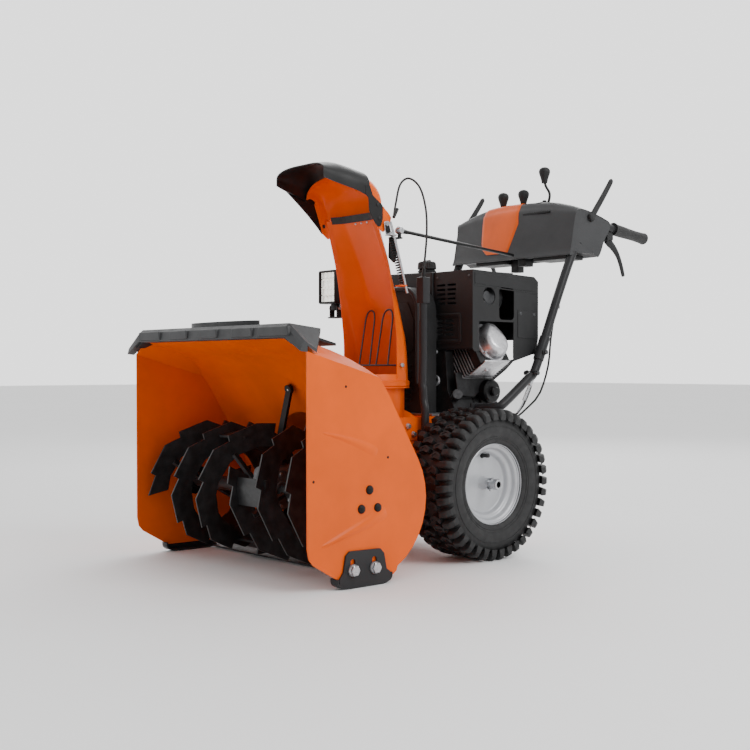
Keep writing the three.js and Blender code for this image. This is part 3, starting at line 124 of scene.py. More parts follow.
class SnowblowerSizes(bpy.types.PropertyGroup):
    """Sizes of the surfaces that the CAD frame leaves to the finish."""

    sheet_edge: size("Sheet edge", "Rounding of the cut edges of sheet metal, in mm", 0.9, 0.1, 3)
    moulded_edge: size("Moulded edge", "Rounding of plastic and cast edges, in mm", 1.6, 0.1, 5)
    tyre_radius: size("Tyre radius", "Radius over the tread, in mm", 203, 100, 300)
    tyre_width: size("Tyre width", "Width over the lugs, in mm", 157, 50, 300)
    lug_count: IntProperty(name="Lugs", description="Shoulder lugs round a tyre", default=38, min=8, max=60)
    rim_radius: size("Rim radius", "Radius where the tyre's bead sits, in mm", 103, 50, 200)
    grip_rings: IntProperty(
        name="Grip rings", description="Grooves round a grip", default=22, min=4, max=60
    )
    spring_turns: IntProperty(
        name="Spring turns", description="Turns of the return spring", default=19, min=4, max=40
    )
    cap_ribs: IntProperty(
        name="Cap ribs", description="Grip ribs round the fuel cap", default=30, min=6, max=60
    )


class SnowblowerColours(bpy.types.PropertyGroup):
    """Base colours of the finishes."""

    orange: colour("Orange", "Powder coat and panel", (0.80, 0.108, 0.0))
    black: colour("Black", "Black powder coat", (0.0075, 0.0075, 0.008))
    graphite: colour("Graphite", "Grey moulded plastic", (0.042, 0.043, 0.045))
    soot: colour("Soot", "Black moulded plastic", (0.0125, 0.0128, 0.0135))
    casting: colour("Casting", "Cast aluminium", (0.30, 0.30, 0.31))
    zinc: colour("Zinc", "Plated steel", (0.50, 0.51, 0.53))
    rubber: colour("Rubber", "Tyres, grips and cables", (0.011, 0.011, 0.0115))
    floor: colour("Floor", "Studio floor", (0.93, 0.93, 0.93))


# ------------------------------------------------------------------ shapes as arrays
def grid_faces(rows, columns, wrap_rows=False, wrap_columns=True):
    """Quads of a grid of points, joined round either way where asked."""
    r = np.arange(rows if wrap_rows else rows - 1)
    c = np.arange(columns if wrap_columns else columns - 1)
    i, j = (a.ravel() for a in np.meshgrid(r, c, indexing="ij"))
    k, l = (i + 1) % rows, (j + 1) % columns
    return np.stack([i * columns + j, i * columns + l, k * columns + l, k * columns + j], 1).tolist()


def outward(points, faces):
    """Turns a closed shape's faces round if the volume that they enclose is negative."""
    total = 0.0
    for count in {len(f) for f in faces}:
        same = np.array([f for f in faces if len(f) == count])
        first = points[same[:, 0]]
        for k in range(1, count - 1):
            total += np.einsum("ij,ij->", first, np.cross(points[same[:, k]], points[same[:, k + 1]]))
    return points, faces if total > 0 else [f[::-1] for f in faces]


def skin(rings, loop=False, open_ends=False):
    """A shape skinned over rings of points: each ring is joined to the next, and the end rings are closed
    with a flat cap, or joined to each other on a loop."""
    rings = np.asarray(rings, float)
    n, m = rings.shape[:2]
    faces = grid_faces(n, m, wrap_rows=loop)
    if not loop and not open_ends:
        faces += [list(range(m)), list(range((n - 1) * m, n * m))[::-1]]
    return outward(rings.reshape(-1, 3), faces)


def gather(*parts):
    """Several shapes as one."""
    points, faces, count = [], [], 0
    for p, f in parts:
        points.append(p)
        faces += [[i + count for i in face] for face in f]
        count += len(p)
    return np.concatenate(points), faces


def moved(part, offset=(0, 0, 0), matrix=None):
    """A shape turned by a matrix and moved; a mirroring matrix keeps its faces pointing out."""
    points, faces = part
    if matrix is not None:
        matrix = np.asarray(matrix, float)
        points = points @ matrix.T
        if np.linalg.det(matrix) < 0:
            faces = [f[::-1] for f in faces]
    return points + np.asarray(offset, float), faces


def mirrored(part, side):
    """A shape as it is for side 1, and its mirror image across the mid-plane for side -1."""
    return moved(part, matrix=np.diag([side, 1, 1]))


def basis(direction):
    """Two unit vectors square to a direction, and the direction itself."""
    w = np.asarray(direction, float) / np.linalg.norm(direction)
    seed = np.array([0, 0, 1.0]) if abs(w[2]) < 0.9 else np.array([1.0, 0, 0])
    u = np.cross(seed, w)
    u /= np.linalg.norm(u)
    return u, np.cross(w, u), w


def circle_points(count, start=0.0, sweep=2 * math.pi, closed=True):
    """Angles round a circle, cosine and sine of each as two columns."""
    a = start + sweep * np.arange(count) / (count if closed else count - 1)
    return np.stack([np.cos(a), np.sin(a)], 1)


def turned(profile, origin, direction, segments=48, loop=False):
    """A surface of revolution: a profile of (radius, height) carried round an axis."""
    u, v, w = basis(direction)
    r, h = np.asarray(profile, float).T
    c, s = circle_points(segments).T
    rings = (
        np.asarray(origin, float)
        + h[:, None, None] * w
        + r[:, None, None] * (c[None, :, None] * u + s[None, :, None] * v)
    )
    return skin(rings, loop=loop)


def smooth(points, steps=8, closed=False):
    """A Catmull-Rom curve through the points, with so many steps between neighbours."""
    p = np.asarray(points, float)
    if closed:
        p = np.concatenate([p[-1:], p, p[:2]])
    else:
        p = np.concatenate([2 * p[:1] - p[1:2], p, 2 * p[-1:] - p[-2:-1]])
    t = (np.arange(steps) / steps)[:, None]
    pieces = []
    for a, b, c, d in zip(p[:-3], p[1:-2], p[2:-1], p[3:]):
        pieces.append(
            0.5 * (
                2 * b + (c - a) * t + (2 * a - 5 * b + 4 * c - d) * t**2 + (3 * b - a - 3 * c + d) * t**3
            )
        )
    curve = np.concatenate(pieces)
    return curve if closed else np.concatenate([curve, p[-2:-1]])


def frames_along(path, start_up=None):
    """Unit vectors across a path, turned as little as possible from each point to the next."""
    tangent = np.gradient(path, axis=0)
    tangent /= np.linalg.norm(tangent, axis=1)[:, None]
    u = basis(tangent[0])[0] if start_up is None else np.asarray(start_up, float)
    across, up = [], []
    for t in tangent:
        u = u - t * (u @ t)
        u /= np.linalg.norm(u)
        across.append(u)
        up.append(np.cross(t, u))
    return np.array(across), np.array(up), tangent


def swept(path, section, start_up=None, scale=None):
    """A closed section of (across, up) points carried along a path, larger or smaller on the way."""
    path = np.asarray(path, float)
    across, up, _ = frames_along(path, start_up)
    section = np.asarray(section, float)
    scale = np.ones(len(path)) if scale is None else np.asarray(scale, float)
    rings = path[:, None] + scale[:, None, None] * (
        section[None, :, :1] * across[:, None] + section[None, :, 1:] * up[:, None]
    )
    return skin(rings)


def tube(path, radius, sides=20, scale=None):
    """A round bar along a path."""
    return swept(path, radius * circle_points(sides), scale=scale)


def bar(start, end, radius, sides=24, edge=0.6):
    """A straight round bar with its end edges rounded off."""
    length = float(np.linalg.norm(np.subtract(end, start)))
    profile = [
        (0, 0), (radius - edge, 0), (radius, edge), (radius, length - edge), (radius - edge, length),
        (0, length)
    ]
    return turned(profile, start, np.subtract(end, start), sides)


def rounded(outline, radius, steps=5):
    """An outline with each corner replaced by an arc, or by less where its sides are short."""
    p = np.asarray(outline, float)
    radii = np.broadcast_to(radius, len(p))
    points = []
    for before, corner, after, r in zip(np.roll(p, 1, 0), p, np.roll(p, -1, 0), radii):
        a, b = before - corner, after - corner
        la, lb = np.linalg.norm(a), np.linalg.norm(b)
        a, b = a / la, b / lb
        half = math.acos(np.clip(a @ b, -1, 1)) / 2
        reach = min(r / max(math.tan(half), 1e-6), 0.49 * la, 0.49 * lb)
        t = np.linspace(0, 1, steps + 1)[:, None]
        points.append(
            (1 - t) ** 2 * (corner + a * reach) + 2 * t * (1 - t) * corner + t**2 * (corner + b * reach)
        )
    return np.concatenate(points)


def shrunk(outline, inset):
    """An outline moved inward along the mean of its neighbouring sides' normals."""
    p = np.asarray(outline, float)
    side = np.roll(p, -1, 0) - np.roll(p, 1, 0)
    normal = np.stack([-side[:, 1], side[:, 0]], 1)
    normal /= np.maximum(np.linalg.norm(normal, axis=1), 1e-9)[:, None]
    area = 0.5 * np.sum(p[:, 0] * np.roll(p[:, 1], -1) - np.roll(p[:, 0], -1) * p[:, 1])
    return p + normal * inset * (1 if area > 0 else -1)


def on_axis(outline, axis, along):
    """An outline's two coordinates laid square to an axis at a distance along it."""
    a, b = np.asarray(outline, float).T
    c = np.full(len(a), float(along))
    columns = {"x": (c, a, b), "y": (a, c, b), "z": (a, b, c)}[axis]
    return np.stack(columns, 1)


def slab(outline, axis, low, high, edge=0.8):
    """An outline given thickness along an axis, with its edges rounded off."""
    low, high = min(low, high), max(low, high)
    edge = min(edge, 0.45 * (high - low))
    inner = shrunk(outline, edge)
    middle = shrunk(outline, edge * 0.3)
    return skin(
        [
            on_axis(inner, axis, low),
            on_axis(middle, axis, low + edge * 0.3),
            on_axis(outline, axis, low + edge),
            on_axis(outline, axis, high - edge),
            on_axis(middle, axis, high - edge * 0.3),
            on_axis(inner, axis, high),
        ]
    )


def block(low, high, edge=1.0, corner=2.0, axis="z"):
    """A box between two corners with rounded edges."""
    low, high = np.minimum(low, high), np.maximum(low, high)
    a, b, c = {"x": (1, 2, 0), "y": (0, 2, 1), "z": (0, 1, 2)}[axis]
    outline = [(low[a], low[b]), (high[a], low[b]), (high[a], high[b]), (low[a], high[b])]
    return slab(rounded(outline, corner, 4), axis, low[c], high[c], edge)


def hex_bolt(at, direction, across=13.0, height=6.0, flange=0.0):
    """A hexagon head with its corners turned off, on a round flange where it has one."""
    direction = np.asarray(direction, float) / np.linalg.norm(direction)
    u, v, w = basis(direction)
    angles = circle_points(48)
    theta = np.arctan2(angles[:, 1], angles[:, 0])
    hexagon = (across / 2) / np.cos((theta % (math.pi / 3)) - math.pi / 6)
    start = flange * 0.18
    rings = []
    for h, limit in ((start, 9), (start + height * 0.8, 9), (start + height, 0.93)):
        r = np.minimum(hexagon, limit * across / 2)
        rings.append(np.asarray(at) + h * w + r[:, None] * (angles[:, :1] * u + angles[:, 1:] * v))
    parts = [skin(rings)]
    if flange:
        edge = flange / 2
        parts.append(
            turned(
                [(0, 0), (edge, 0), (edge, start * 0.5), (edge * 0.86, start * 1.1), (0, start * 1.1)], at,
                w, 32
            )
        )
    return gather(*parts)


def dome_bolt(at, direction, radius=8.0, height=4.5):
    """A round domed head: a quarter circle turned about its axis, stretched to its height."""
    t = np.linspace(0, math.pi / 2, 7)
    profile = [(0, -1.0), (radius, -1.0), *zip(radius * np.cos(t), height * np.sin(t))]
    return turned(profile, at, direction, 28)


# ------------------------------------------------------------------ pieces
MATERIALS = {}


def add_piece(name, part, material, body="frame", replaces=(), slot=None, angle=38, bevel=0.0):
    """Puts a shape into the scene as one object: smooth, with its sharp edges kept."""
    points, faces = part
    mesh = bpy.data.meshes.new(name)
    mesh.from_pydata(place(points).tolist(), [], faces)
    tidy = bmesh.new()
    tidy.from_mesh(mesh)
    bmesh.ops.remove_doubles(tidy, verts=tidy.verts, dist=2e-6)
    bmesh.ops.dissolve_degenerate(tidy, edges=tidy.edges, dist=1e-6)
    tidy.to_mesh(mesh)
    tidy.free()
    return settle(name, mesh, material, body, replaces, slot, angle, bevel)


def settle(name, mesh, material, body, replaces, slot, angle, bevel):
    """Gives a mesh its object, material, body and smoothing."""
    mesh.validate()
    mesh.polygons.foreach_set("use_smooth", [True] * len(mesh.polygons))
    mesh.set_sharp_from_angle(angle=math.radians(angle))
    piece = bpy.data.objects.new(name, mesh)
    bpy.context.scene.collection.objects.link(piece)
    mesh.materials.append(MATERIALS[material])
    if bevel:
        edges = piece.modifiers.new("Edges", "BEVEL")
        edges.width = bevel / 1000
        edges.segments = 2
        edges.limit_method = "ANGLE"
        edges.angle_limit = math.radians(angle)
        edges.harden_normals = True
    if body:
        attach(piece, body)
    if replaces:
        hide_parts(*replaces)
        slot = slot or SLOT_OF[replaces[0]]
    return piece


def dress(node, material, bevel, angle=24, flat=0.6):
    """A merged copy of a CAD node: coplanar triangles are joined, shallow bends are shaded smooth and
    sharp edges are rounded by a narrow bevel."""
    source = frame["nodes"][node]
    mesh = source.data.copy()
    mesh.name = node + "_finish"
    mesh.materials.clear()
    tidy = bmesh.new()
    tidy.from_mesh(mesh)
    bmesh.ops.remove_doubles(tidy, verts=tidy.verts, dist=5e-6)
    bmesh.ops.dissolve_limit(
        tidy, angle_limit=math.radians(flat), use_dissolve_boundaries=False, verts=tidy.verts, edges=tidy.edges
    )
    tidy.to_mesh(mesh)
    tidy.free()
    for layer in list(mesh.attributes):
        if layer.name == "custom_normal":
            mesh.attributes.remove(layer)
    return settle(node + "_finish", mesh, material, BODY_OF[node], (node,), None, angle, bevel)


# ------------------------------------------------------------------ materials
class Finish:
    """A material and its nodes, with patterns read from Object coordinates."""

    def __init__(self, name, base, roughness, metallic=0.0):
        self.material = bpy.data.materials.new(name)
        self.material.use_nodes = True
        self.nodes = self.material.node_tree.nodes
        self.links = self.material.node_tree.links
        self.shader = self.nodes["Principled BSDF"]
        self.shader.inputs["Base Color"].default_value = (*base, 1)
        self.shader.inputs["Roughness"].default_value = roughness
        self.shader.inputs["Metallic"].default_value = metallic
        self.base = base
        self.at = self.nodes.new("ShaderNodeTexCoord").outputs["Object"]
        MATERIALS[name] = self.material

    def stretched(self, scale):
        """Object coordinates scaled by a different amount along each axis."""
        mapping = self.nodes.new("ShaderNodeMapping")
        mapping.inputs["Scale"].default_value = scale
        self.links.new(self.at, mapping.inputs["Vector"])
        return mapping.outputs["Vector"]

    def noise(self, scale, detail=3.0, at=None, roughness=0.55):
        node = self.nodes.new("ShaderNodeTexNoise")
        node.inputs["Scale"].default_value = scale
        node.inputs["Detail"].default_value = detail
        node.inputs["Roughness"].default_value = roughness
        self.links.new(at or self.at, node.inputs["Vector"])
        return node.outputs["Fac"]

    def cells(self, scale, feature="F1", at=None):
        node = self.nodes.new("ShaderNodeTexVoronoi")
        node.feature = feature
        node.inputs["Scale"].default_value = scale
        self.links.new(at or self.at, node.inputs["Vector"])
        return node.outputs["Distance"]

    def ramp(self, source, low, high, out_low, out_high):
        """Carries a value from one range to another, held at its ends."""
        node = self.nodes.new("ShaderNodeMapRange")
        for socket, value in zip(
            ("From Min", "From Max", "To Min", "To Max"), (low, high, out_low, out_high)
        ):
            node.inputs[socket].default_value = value
        self.links.new(source, node.inputs["Value"])
        return node.outputs["Result"]

    def tint(self, source, dark, light, low=0.35, high=0.65):
        """Base colour between two multiples of the finish's colour, as a pattern goes from low to high."""
        node = self.nodes.new("ShaderNodeValToRGB")
        node.color_ramp.elements[0].position = low
        node.color_ramp.elements[1].position = high
        for element, share in zip(node.color_ramp.elements, (dark, light)):
            shade = share if isinstance(share, tuple) else tuple(min(1.0, c * share) for c in self.base)
            element.color = (*shade, 1)
        self.links.new(source, node.inputs["Fac"])
        self.links.new(node.outputs["Color"], self.shader.inputs["Base Color"])

    def rough(self, source, low, high, out_low, out_high):
        self.links.new(self.ramp(source, low, high, out_low, out_high), self.shader.inputs["Roughness"])

    def bump(self, source, strength, depth, after=None):
        """Bump of a depth in metres, laid over another bump where one is given."""
        node = self.nodes.new("ShaderNodeBump")
        node.inputs["Strength"].default_value = strength
        node.inputs["Distance"].default_value = depth
        self.links.new(source, node.inputs["Height"])
        if after:
            self.links.new(after, node.inputs["Normal"])
        self.links.new(node.outputs["Normal"], self.shader.inputs["Normal"])
        return node.outputs["Normal"]


def powder_coat(name, base, gloss):
    """Sprayed and baked coat: fine orange peel, and faint cloudiness in colour and gloss."""
    f = Finish(name, base, gloss)
    f.tint(f.noise(6, 4), 0.9, 1.05)
    f.rough(f.noise(21, 5), 0.3, 0.7, gloss - 0.05, gloss + 0.09)
    peel = f.bump(f.noise(620, 2), 0.12, 0.0004)
    f.bump(f.noise(46, 3), 0.05, 0.0016, peel)
    f.shader.inputs["Specular IOR Level"].default_value = 0.22


def worn_black(name, base):
    """Black coat rubbed by snow and grit: grey scuffs in streaks, with specks that shine."""
    f = Finish(name, base, 0.42)
    streaks = f.noise(38, 6, f.stretched((0.35, 1, 1)), 0.7)
    f.tint(streaks, 0.85, (0.032, 0.032, 0.034), 0.4, 0.78)
    f.rough(f.noise(90, 4), 0.3, 0.7, 0.34, 0.52)
    f.bump(f.noise(520, 3), 0.18, 0.0004)


def moulded(name, base, roughness, grain=1300, strength=0.3, sheen=0.35):
    """Moulded plastic: an even leathery grain in the tool's surface, slightly uneven in gloss."""
    f = Finish(name, base, roughness)
    f.tint(f.noise(9, 4), 0.9, 1.1)
    f.rough(f.noise(30, 4), 0.3, 0.7, roughness - 0.07, roughness + 0.07)
    f.shader.inputs["Specular IOR Level"].default_value = sheen
    cells = f.bump(f.cells(grain), strength, 0.00025)
    f.bump(f.noise(60, 2), 0.06, 0.0012, cells)


def casting(name, base, roughness=0.42):
    """Sand-cast aluminium: pebbled skin, darker in its hollows."""
    f = Finish(name, base, roughness, 0.85)
    f.tint(f.noise(34, 6, roughness=0.7), 0.62, 1.2, 0.3, 0.7)
    f.rough(f.noise(120, 5), 0.3, 0.7, roughness - 0.1, roughness + 0.16)
    pebbles = f.bump(f.noise(420, 4), 0.45, 0.0005)
    f.bump(f.noise(34, 3), 0.14, 0.0014, pebbles)


def plated(name, base, roughness=0.28):
    """Zinc plate: crystals of slightly different brightness under fine brush marks."""
    f = Finish(name, base, roughness, 0.9)
    f.tint(f.cells(150), 0.86, 1.1, 0.1, 0.75)
    f.rough(f.noise(70, 5), 0.3, 0.7, roughness - 0.06, roughness + 0.12)
    f.bump(f.noise(900, 2, f.stretched((0.15, 1, 1))), 0.1, 0.0002)


def satin_rim(name, base):
    """Silver enamel on a pressed rim: satin, with a soft mottle."""
    f = Finish(name, base, 0.38, 0.35)
    f.tint(f.noise(14, 4), 0.93, 1.05)
    f.rough(f.noise(40, 4), 0.3, 0.7, 0.32, 0.46)
    f.bump(f.noise(700, 2), 0.14, 0.0003)


def rubber(name, base, roughness=0.62, grain=800):
    """Rubber: matt and finely grained, with pale bloom in patches."""
    f = Finish(name, base, roughness)
    f.tint(f.noise(16, 5, roughness=0.65), 0.85, 1.5, 0.35, 0.8)
    f.rough(f.noise(60, 4), 0.3, 0.7, roughness - 0.08, roughness + 0.12)
    f.bump(f.noise(grain, 3), 0.3, 0.0004)


def painted_reflection_finish(name, base, strength):
    """A light's reflector: bright metal cells, with a faint emission that is a painted reflection making them look
    lit.
    """
    f = Finish(name, base, 0.12, 0.9)
    f.tint(f.cells(340), 0.7, 1.1, 0.05, 0.5)
    # painted reflection: this emission stands in for light reflected by the cells
    f.shader.inputs["Emission Color"].default_value = (*base, 1)
    f.shader.inputs["Emission Strength"].default_value = strength


def make_materials(colours):
    powder_coat("orange_coat", colours.orange, 0.33)
    powder_coat("black_coat", colours.black, 0.4)
    powder_coat("tube_coat", tuple(3.4 * c for c in colours.black), 0.34)
    worn_black("auger_coat", colours.black)
    moulded("graphite_plastic", colours.graphite, 0.5)
    moulded("orange_plastic", colours.orange, 0.38, strength=0.12)
    moulded("black_plastic", colours.soot, 0.52)
    moulded("smooth_black", tuple(0.7 * c for c in colours.black), 0.4, strength=0.1)
    casting("cast_alloy", colours.casting)
    casting("sooty_casting", tuple(0.16 * c for c in colours.casting), 0.5)
    casting("bright_casting", tuple(min(1.0, 2.35 * c) for c in colours.casting), 0.34)
    plated("zinc_plate", colours.zinc)
    plated("dark_steel", tuple(0.16 * c for c in colours.zinc), 0.4)
    satin_rim("rim_enamel", colours.zinc)
    rubber("tyre_rubber", colours.rubber)
    rubber("soft_rubber", colours.rubber, 0.55, 1500)
    # the reflector's faint emission is a painted reflection
    painted_reflection_finish("reflector", (0.9, 0.9, 0.86), 0.35)


# ------------------------------------------------------------------ stage
CAMERA = {"place": (2.460, -2.2956, 0.513), "azimuth": 49.09, "dip": 0.34, "lens": 55.73}


def add_light(name, at, aim, width, power, tone=(1, 1, 1)):
    """A square soft light that faces a point."""
    data = bpy.data.lights.new(name, "AREA")
    data.shape = "SQUARE"
    data.size = width
    data.energy = power
    data.color = tone
    lamp = bpy.data.objects.new(name, data)
    lamp.location = at
    lamp.rotation_euler = (Vector(aim) - Vector(at)).to_track_quat("-Z", "Y").to_euler()
    bpy.context.scene.collection.objects.link(lamp)


class SNOWBLOWER_OT_stage(bpy.types.Operator):
    """Floor, soft lights and camera"""

    bl_idname = "snowblower.stage"
    bl_label = "Stage"

    def execute(self, context):
        colours = context.scene.snowblower_colours
        make_materials(colours)
        data = bpy.data.cameras.new("Camera")
        data.lens = CAMERA["lens"]
        data.sensor_width = 36
        data.clip_end = 100
        camera = bpy.data.objects.new("Camera", data)
        camera.location = CAMERA["place"]
        camera.rotation_euler = (math.radians(90 - CAMERA["dip"]), 0, math.radians(CAMERA["azimuth"]))
        context.scene.collection.objects.link(camera)
        context.scene.camera = camera

        f = Finish("studio_floor", colours.floor, 0.7)
        f.tint(f.noise(0.8, 2), 0.985, 1.0)
        mesh = bpy.data.meshes.new("studio_floor")
        reach = 30.0
        mesh.from_pydata(
            [(-reach, -reach, 0), (reach, -reach, 0), (reach, reach, 0), (-reach, reach, 0)], [],
            [(0, 1, 2, 3)]
        )
        mesh.materials.append(MATERIALS["studio_floor"])
        floor = bpy.data.objects.new("studio_floor", mesh)
        context.scene.collection.objects.link(floor)

        self.backdrop(context.scene)
        middle = (0, 0, 0.5)
        add_light("Key", (3.6, 0.4, 3.2), middle, 2.4, 110)
        add_light("Front", (1.5, -4.0, 2.6), middle, 2.6, 6)
        add_light("Back", (-2.5, 3.0, 3.0), middle, 2.5, 60)
        return {"FINISHED"}


    def backdrop(self, scene):
        """A white sky that is brighter at the back of the studio, behind the machine's left rear, than at
        its front: strength follows the direction's share along the studio's length."""
        world = bpy.data.worlds.new("Studio")
        world.use_nodes = True
        nodes, links = world.node_tree.nodes, world.node_tree.links
        sky = nodes["Background"]
        sky.inputs["Color"].default_value = (1, 1, 1, 1)
        toward = nodes.new("ShaderNodeVectorMath")
        toward.operation = "DOT_PRODUCT"
        toward.inputs[1].default_value = (-0.756, 0.655, 0)
        links.new(nodes.new("ShaderNodeTexCoord").outputs["Generated"], toward.inputs[0])
        strength = nodes.new("ShaderNodeMapRange")
        for socket, value in zip(("From Min", "From Max", "To Min", "To Max"), (-0.3, 0.75, 0.62, 2.0)):
            strength.inputs[socket].default_value = value
        links.new(toward.outputs["Value"], strength.inputs["Value"])
        links.new(strength.outputs["Result"], sky.inputs["Strength"])
        scene.world = world


# ------------------------------------------------------------------ auger housing
def pressed_bulge(line, widths, rise, side):
    """A bulge pressed into a side plate: it follows a line, its height falls off across as a squared cosine
    and along as the square root of a parabola, and its foot is just under the plate's face."""
    path = smooth(line, 6)
    width = smooth(np.array(widths, float)[:, None], 6)[:, 0]
    tangent = np.gradient(path, axis=0)
    tangent /= np.linalg.norm(tangent, axis=1)[:, None]
    across = np.stack([-tangent[:, 1], tangent[:, 0]], 1)
    v = np.linspace(-1, 1, 15)
    t = np.linspace(-1, 1, len(path))
    rings = []
    for p, n, w, share in zip(path, across, width, np.sqrt(np.clip(1 - t**4, 0, 1))):
        flat = p + n * (v * w)[:, None]
        top = HOUSING_HALF - 0.4 + (rise + 0.4) * share * np.cos(v * math.pi / 2) ** 2
        upper = np.stack([top, flat[:, 0], flat[:, 1]], 1)
        lower = np.stack([np.full(len(v), HOUSING_HALF - 1.5), flat[:, 0], flat[:, 1]], 1)
        rings.append(np.concatenate([upper, lower[::-1]]))
    return mirrored(skin(rings), side)


# Line of each bulge along a side plate as (Y, Z), its half widths along the line, and its rise.
SIDE_BULGES = (
    ([(-634, 104), (-560, 128), (-490, 152), (-436, 176)], [5, 13, 21, 26], 4.5),
    ([(-632, 366), (-570, 352), (-510, 332), (-462, 312)], [3, 9, 15, 18], 3.6),
)


class SNOWBLOWER_OT_housing(bpy.types.Operator):
    """Auger housing: sheets, pressed ribs, bearing bolts, skid shoes and scraper"""

    bl_idname = "snowblower.housing"
    bl_label = "Auger Housing"

    def execute(self, context):
        edge = context.scene.snowblower_sizes.sheet_edge
        for node in ("housing_back", "housing_side_left", "housing_side_right", "impeller_drum"):
            dress(node, "orange_coat", edge, angle=30)
        dress("scraper_blade", "dark_steel", 0.4)
        for name, side in SIDES:
            dress("auger_bearing_" + name, "black_coat", 0.5)
            ribs = [pressed_bulge(line, widths, rise, side) for line, widths, rise in SIDE_BULGES]
            add_piece("side_ribs_" + name, gather(*ribs), "orange_coat", slot="orange_paint", angle=60)
            self.bolts(name, side)
            self.shoe(name, side)
        return {"FINISHED"}

    def bolts(self, name, side):
        """Domed bolts round the auger's bearing, flanged bolts in the shoe's slots and small rivets."""
        face = side * (HOUSING_HALF + 0.4)
        turns = np.radians([90, 210, 330])
        domes = [
            dome_bolt((face, AUGER_Y + 29 * math.cos(a), AUGER_Z + 29 * math.sin(a)), (side, 0, 0), 11, 6.6)
            for a in turns
        ]
        holes = [(-560, 470), (-430, 300), (-655, 255)]
        domes += [dome_bolt((face, y, z), (side, 0, 0), 3.2, 0.6) for y, z in holes]
        add_piece("bearing_bolts_" + name, gather(*domes), "black_coat", slot="black_paint")
        seat = side * (HOUSING_HALF + 5.9)
        bolts = [hex_bolt((seat, y, 43), (side, 0, 0), 22.8, 6.4, 30) for y in (-543, -477)]
        add_piece("shoe_bolts_" + name, gather(*bolts), "zinc_plate", slot="zinc_steel")

    def shoe(self, name, side):
        """The shoe's plate from the frame, on a runner whose ends turn up."""
        dress("skid_shoe_" + name, "tube_coat", 1.0)
        line = smooth(
            [
                (-588, 26), (-584, 12), (-566, 4.2), (-540, 2.6), (-500, 2.6), (-458, 2.6), (-440, 4.2),
                (-424, 12), (-421, 26)
            ],
            6
        )
        path = on_axis(line, "x", side * (HOUSING_HALF - 8))
        section = rounded([(-2.5, -13.5), (2.5, -13.5), (2.5, 13.5), (-2.5, 13.5)], 1.6, 3)
        runner = swept(path, section, start_up=(0, -1, 0))
        add_piece("shoe_runner_" + name, runner, "tube_coat", "skid_" + name, slot="black_paint", angle=50)


class SNOWBLOWER_OT_cap(bpy.types.Operator):
    """Plastic cap over the mouth, with its panels, and the clean-out tool behind it"""

    bl_idname = "snowblower.cap"
    bl_label = "Mouth Cap"

    def execute(self, context):
        edge = context.scene.snowblower_sizes.moulded_edge
        dress("top_cap", "graphite_plastic", edge * 1.5, angle=20)
        dress("clean_out_tool", "black_plastic", edge)
        low, high = node_box("top_cap")
        front = low[1]
        panels = []
        for left, right in ((-330, -215), (-170, -82), (-26, 57), (116, 207), (226, 350)):
            base, crown = high[2] - 43, high[2] - 21
            outline = rounded([(left, base), (right, base), (right - 5, crown), (left + 5, crown)], 5)
            panels.append(slab(outline, "y", front - 3.0, front + 8, 2.6))
        add_piece("cap_panels", gather(*panels), "graphite_plastic", slot="grey_plastic", angle=50)
        tip = [(-352, 566), (-306, 588), (-300, 596), (-356, 574)]
        add_piece(
            "cap_end_pad",
            gather(
                *(
                    mirrored(
                        slab(rounded([(abs(a), b) for a, b in tip], 3), "y", front + 6, front + 60, 1.2), s
                    ) for _,
                    s in SIDES
                )
            ),
            "black_plastic",
            slot="black_plastic",
        )
        return {"FINISHED"}


class SNOWBLOWER_OT_augers(bpy.types.Operator):
    """Augers with their shaft, the gearbox between them, its brace and the impeller behind"""

    bl_idname = "snowblower.augers"
    bl_label = "Augers and Impeller"

    def execute(self, context):
        edge = context.scene.snowblower_sizes.sheet_edge
        for name, side in SIDES:
            dress("auger_" + name, "auger_coat", edge * 0.7, angle=34)
            pins = [
                bar(
                    (side * x, AUGER_Y, AUGER_Z - 25), (side * x, AUGER_Y, AUGER_Z + 25), 4.5
                ) for x in (70, 318)
            ]
            heads = [hex_bolt((side * x, AUGER_Y, AUGER_Z + 20), (0, 0, 1), 13, 7) for x in (70, 318)]
            add_piece(
                "shear_bolts_" + name, gather(*pins, *heads), "zinc_plate", "augers", slot="zinc_steel"
            )
        dress("auger_shaft", "dark_steel", 0.3)
        dress("auger_gearbox", "cast_alloy", 1.6)
        dress("gearbox_brace", "black_coat", 0.8)
        dress("impeller", "auger_coat", edge)
        dress("impeller_shaft", "dark_steel", 0.5)
        rim = circle_points(8)
        bolts = [
            hex_bolt(
                (s * 32, AUGER_Y + 41 * b, AUGER_Z + 41 * a), (s, 0, 0), 9, 4.5
            ) for a, b in rim for s in (1, -1)
        ]
        top = node_box("gearbox_brace")[1]
        bolts.append(dome_bolt((22, top[1] - 10.5, top[2] - 12), (0, -1, 0), 8, 4))
        add_piece("gearbox_bolts", gather(*bolts), "zinc_plate", slot="zinc_steel")
        return {"FINISHED"}


# ------------------------------------------------------------------ chute and deflector
CHUTE_HALF = 112.0
CHUTE_WALL = 3.0
# Height, place of the open front and of the back wall along Y, and half width.
CHUTE_STATIONS = (
    (474.4, -157, -66, 114), (577, -157, -74, 114), (643, -163, -90, 114), (720, -174, -113, 113),
    (795, -188, -140, 112), (873, -212, -176, 108), (925, -229, -203, 106),
)


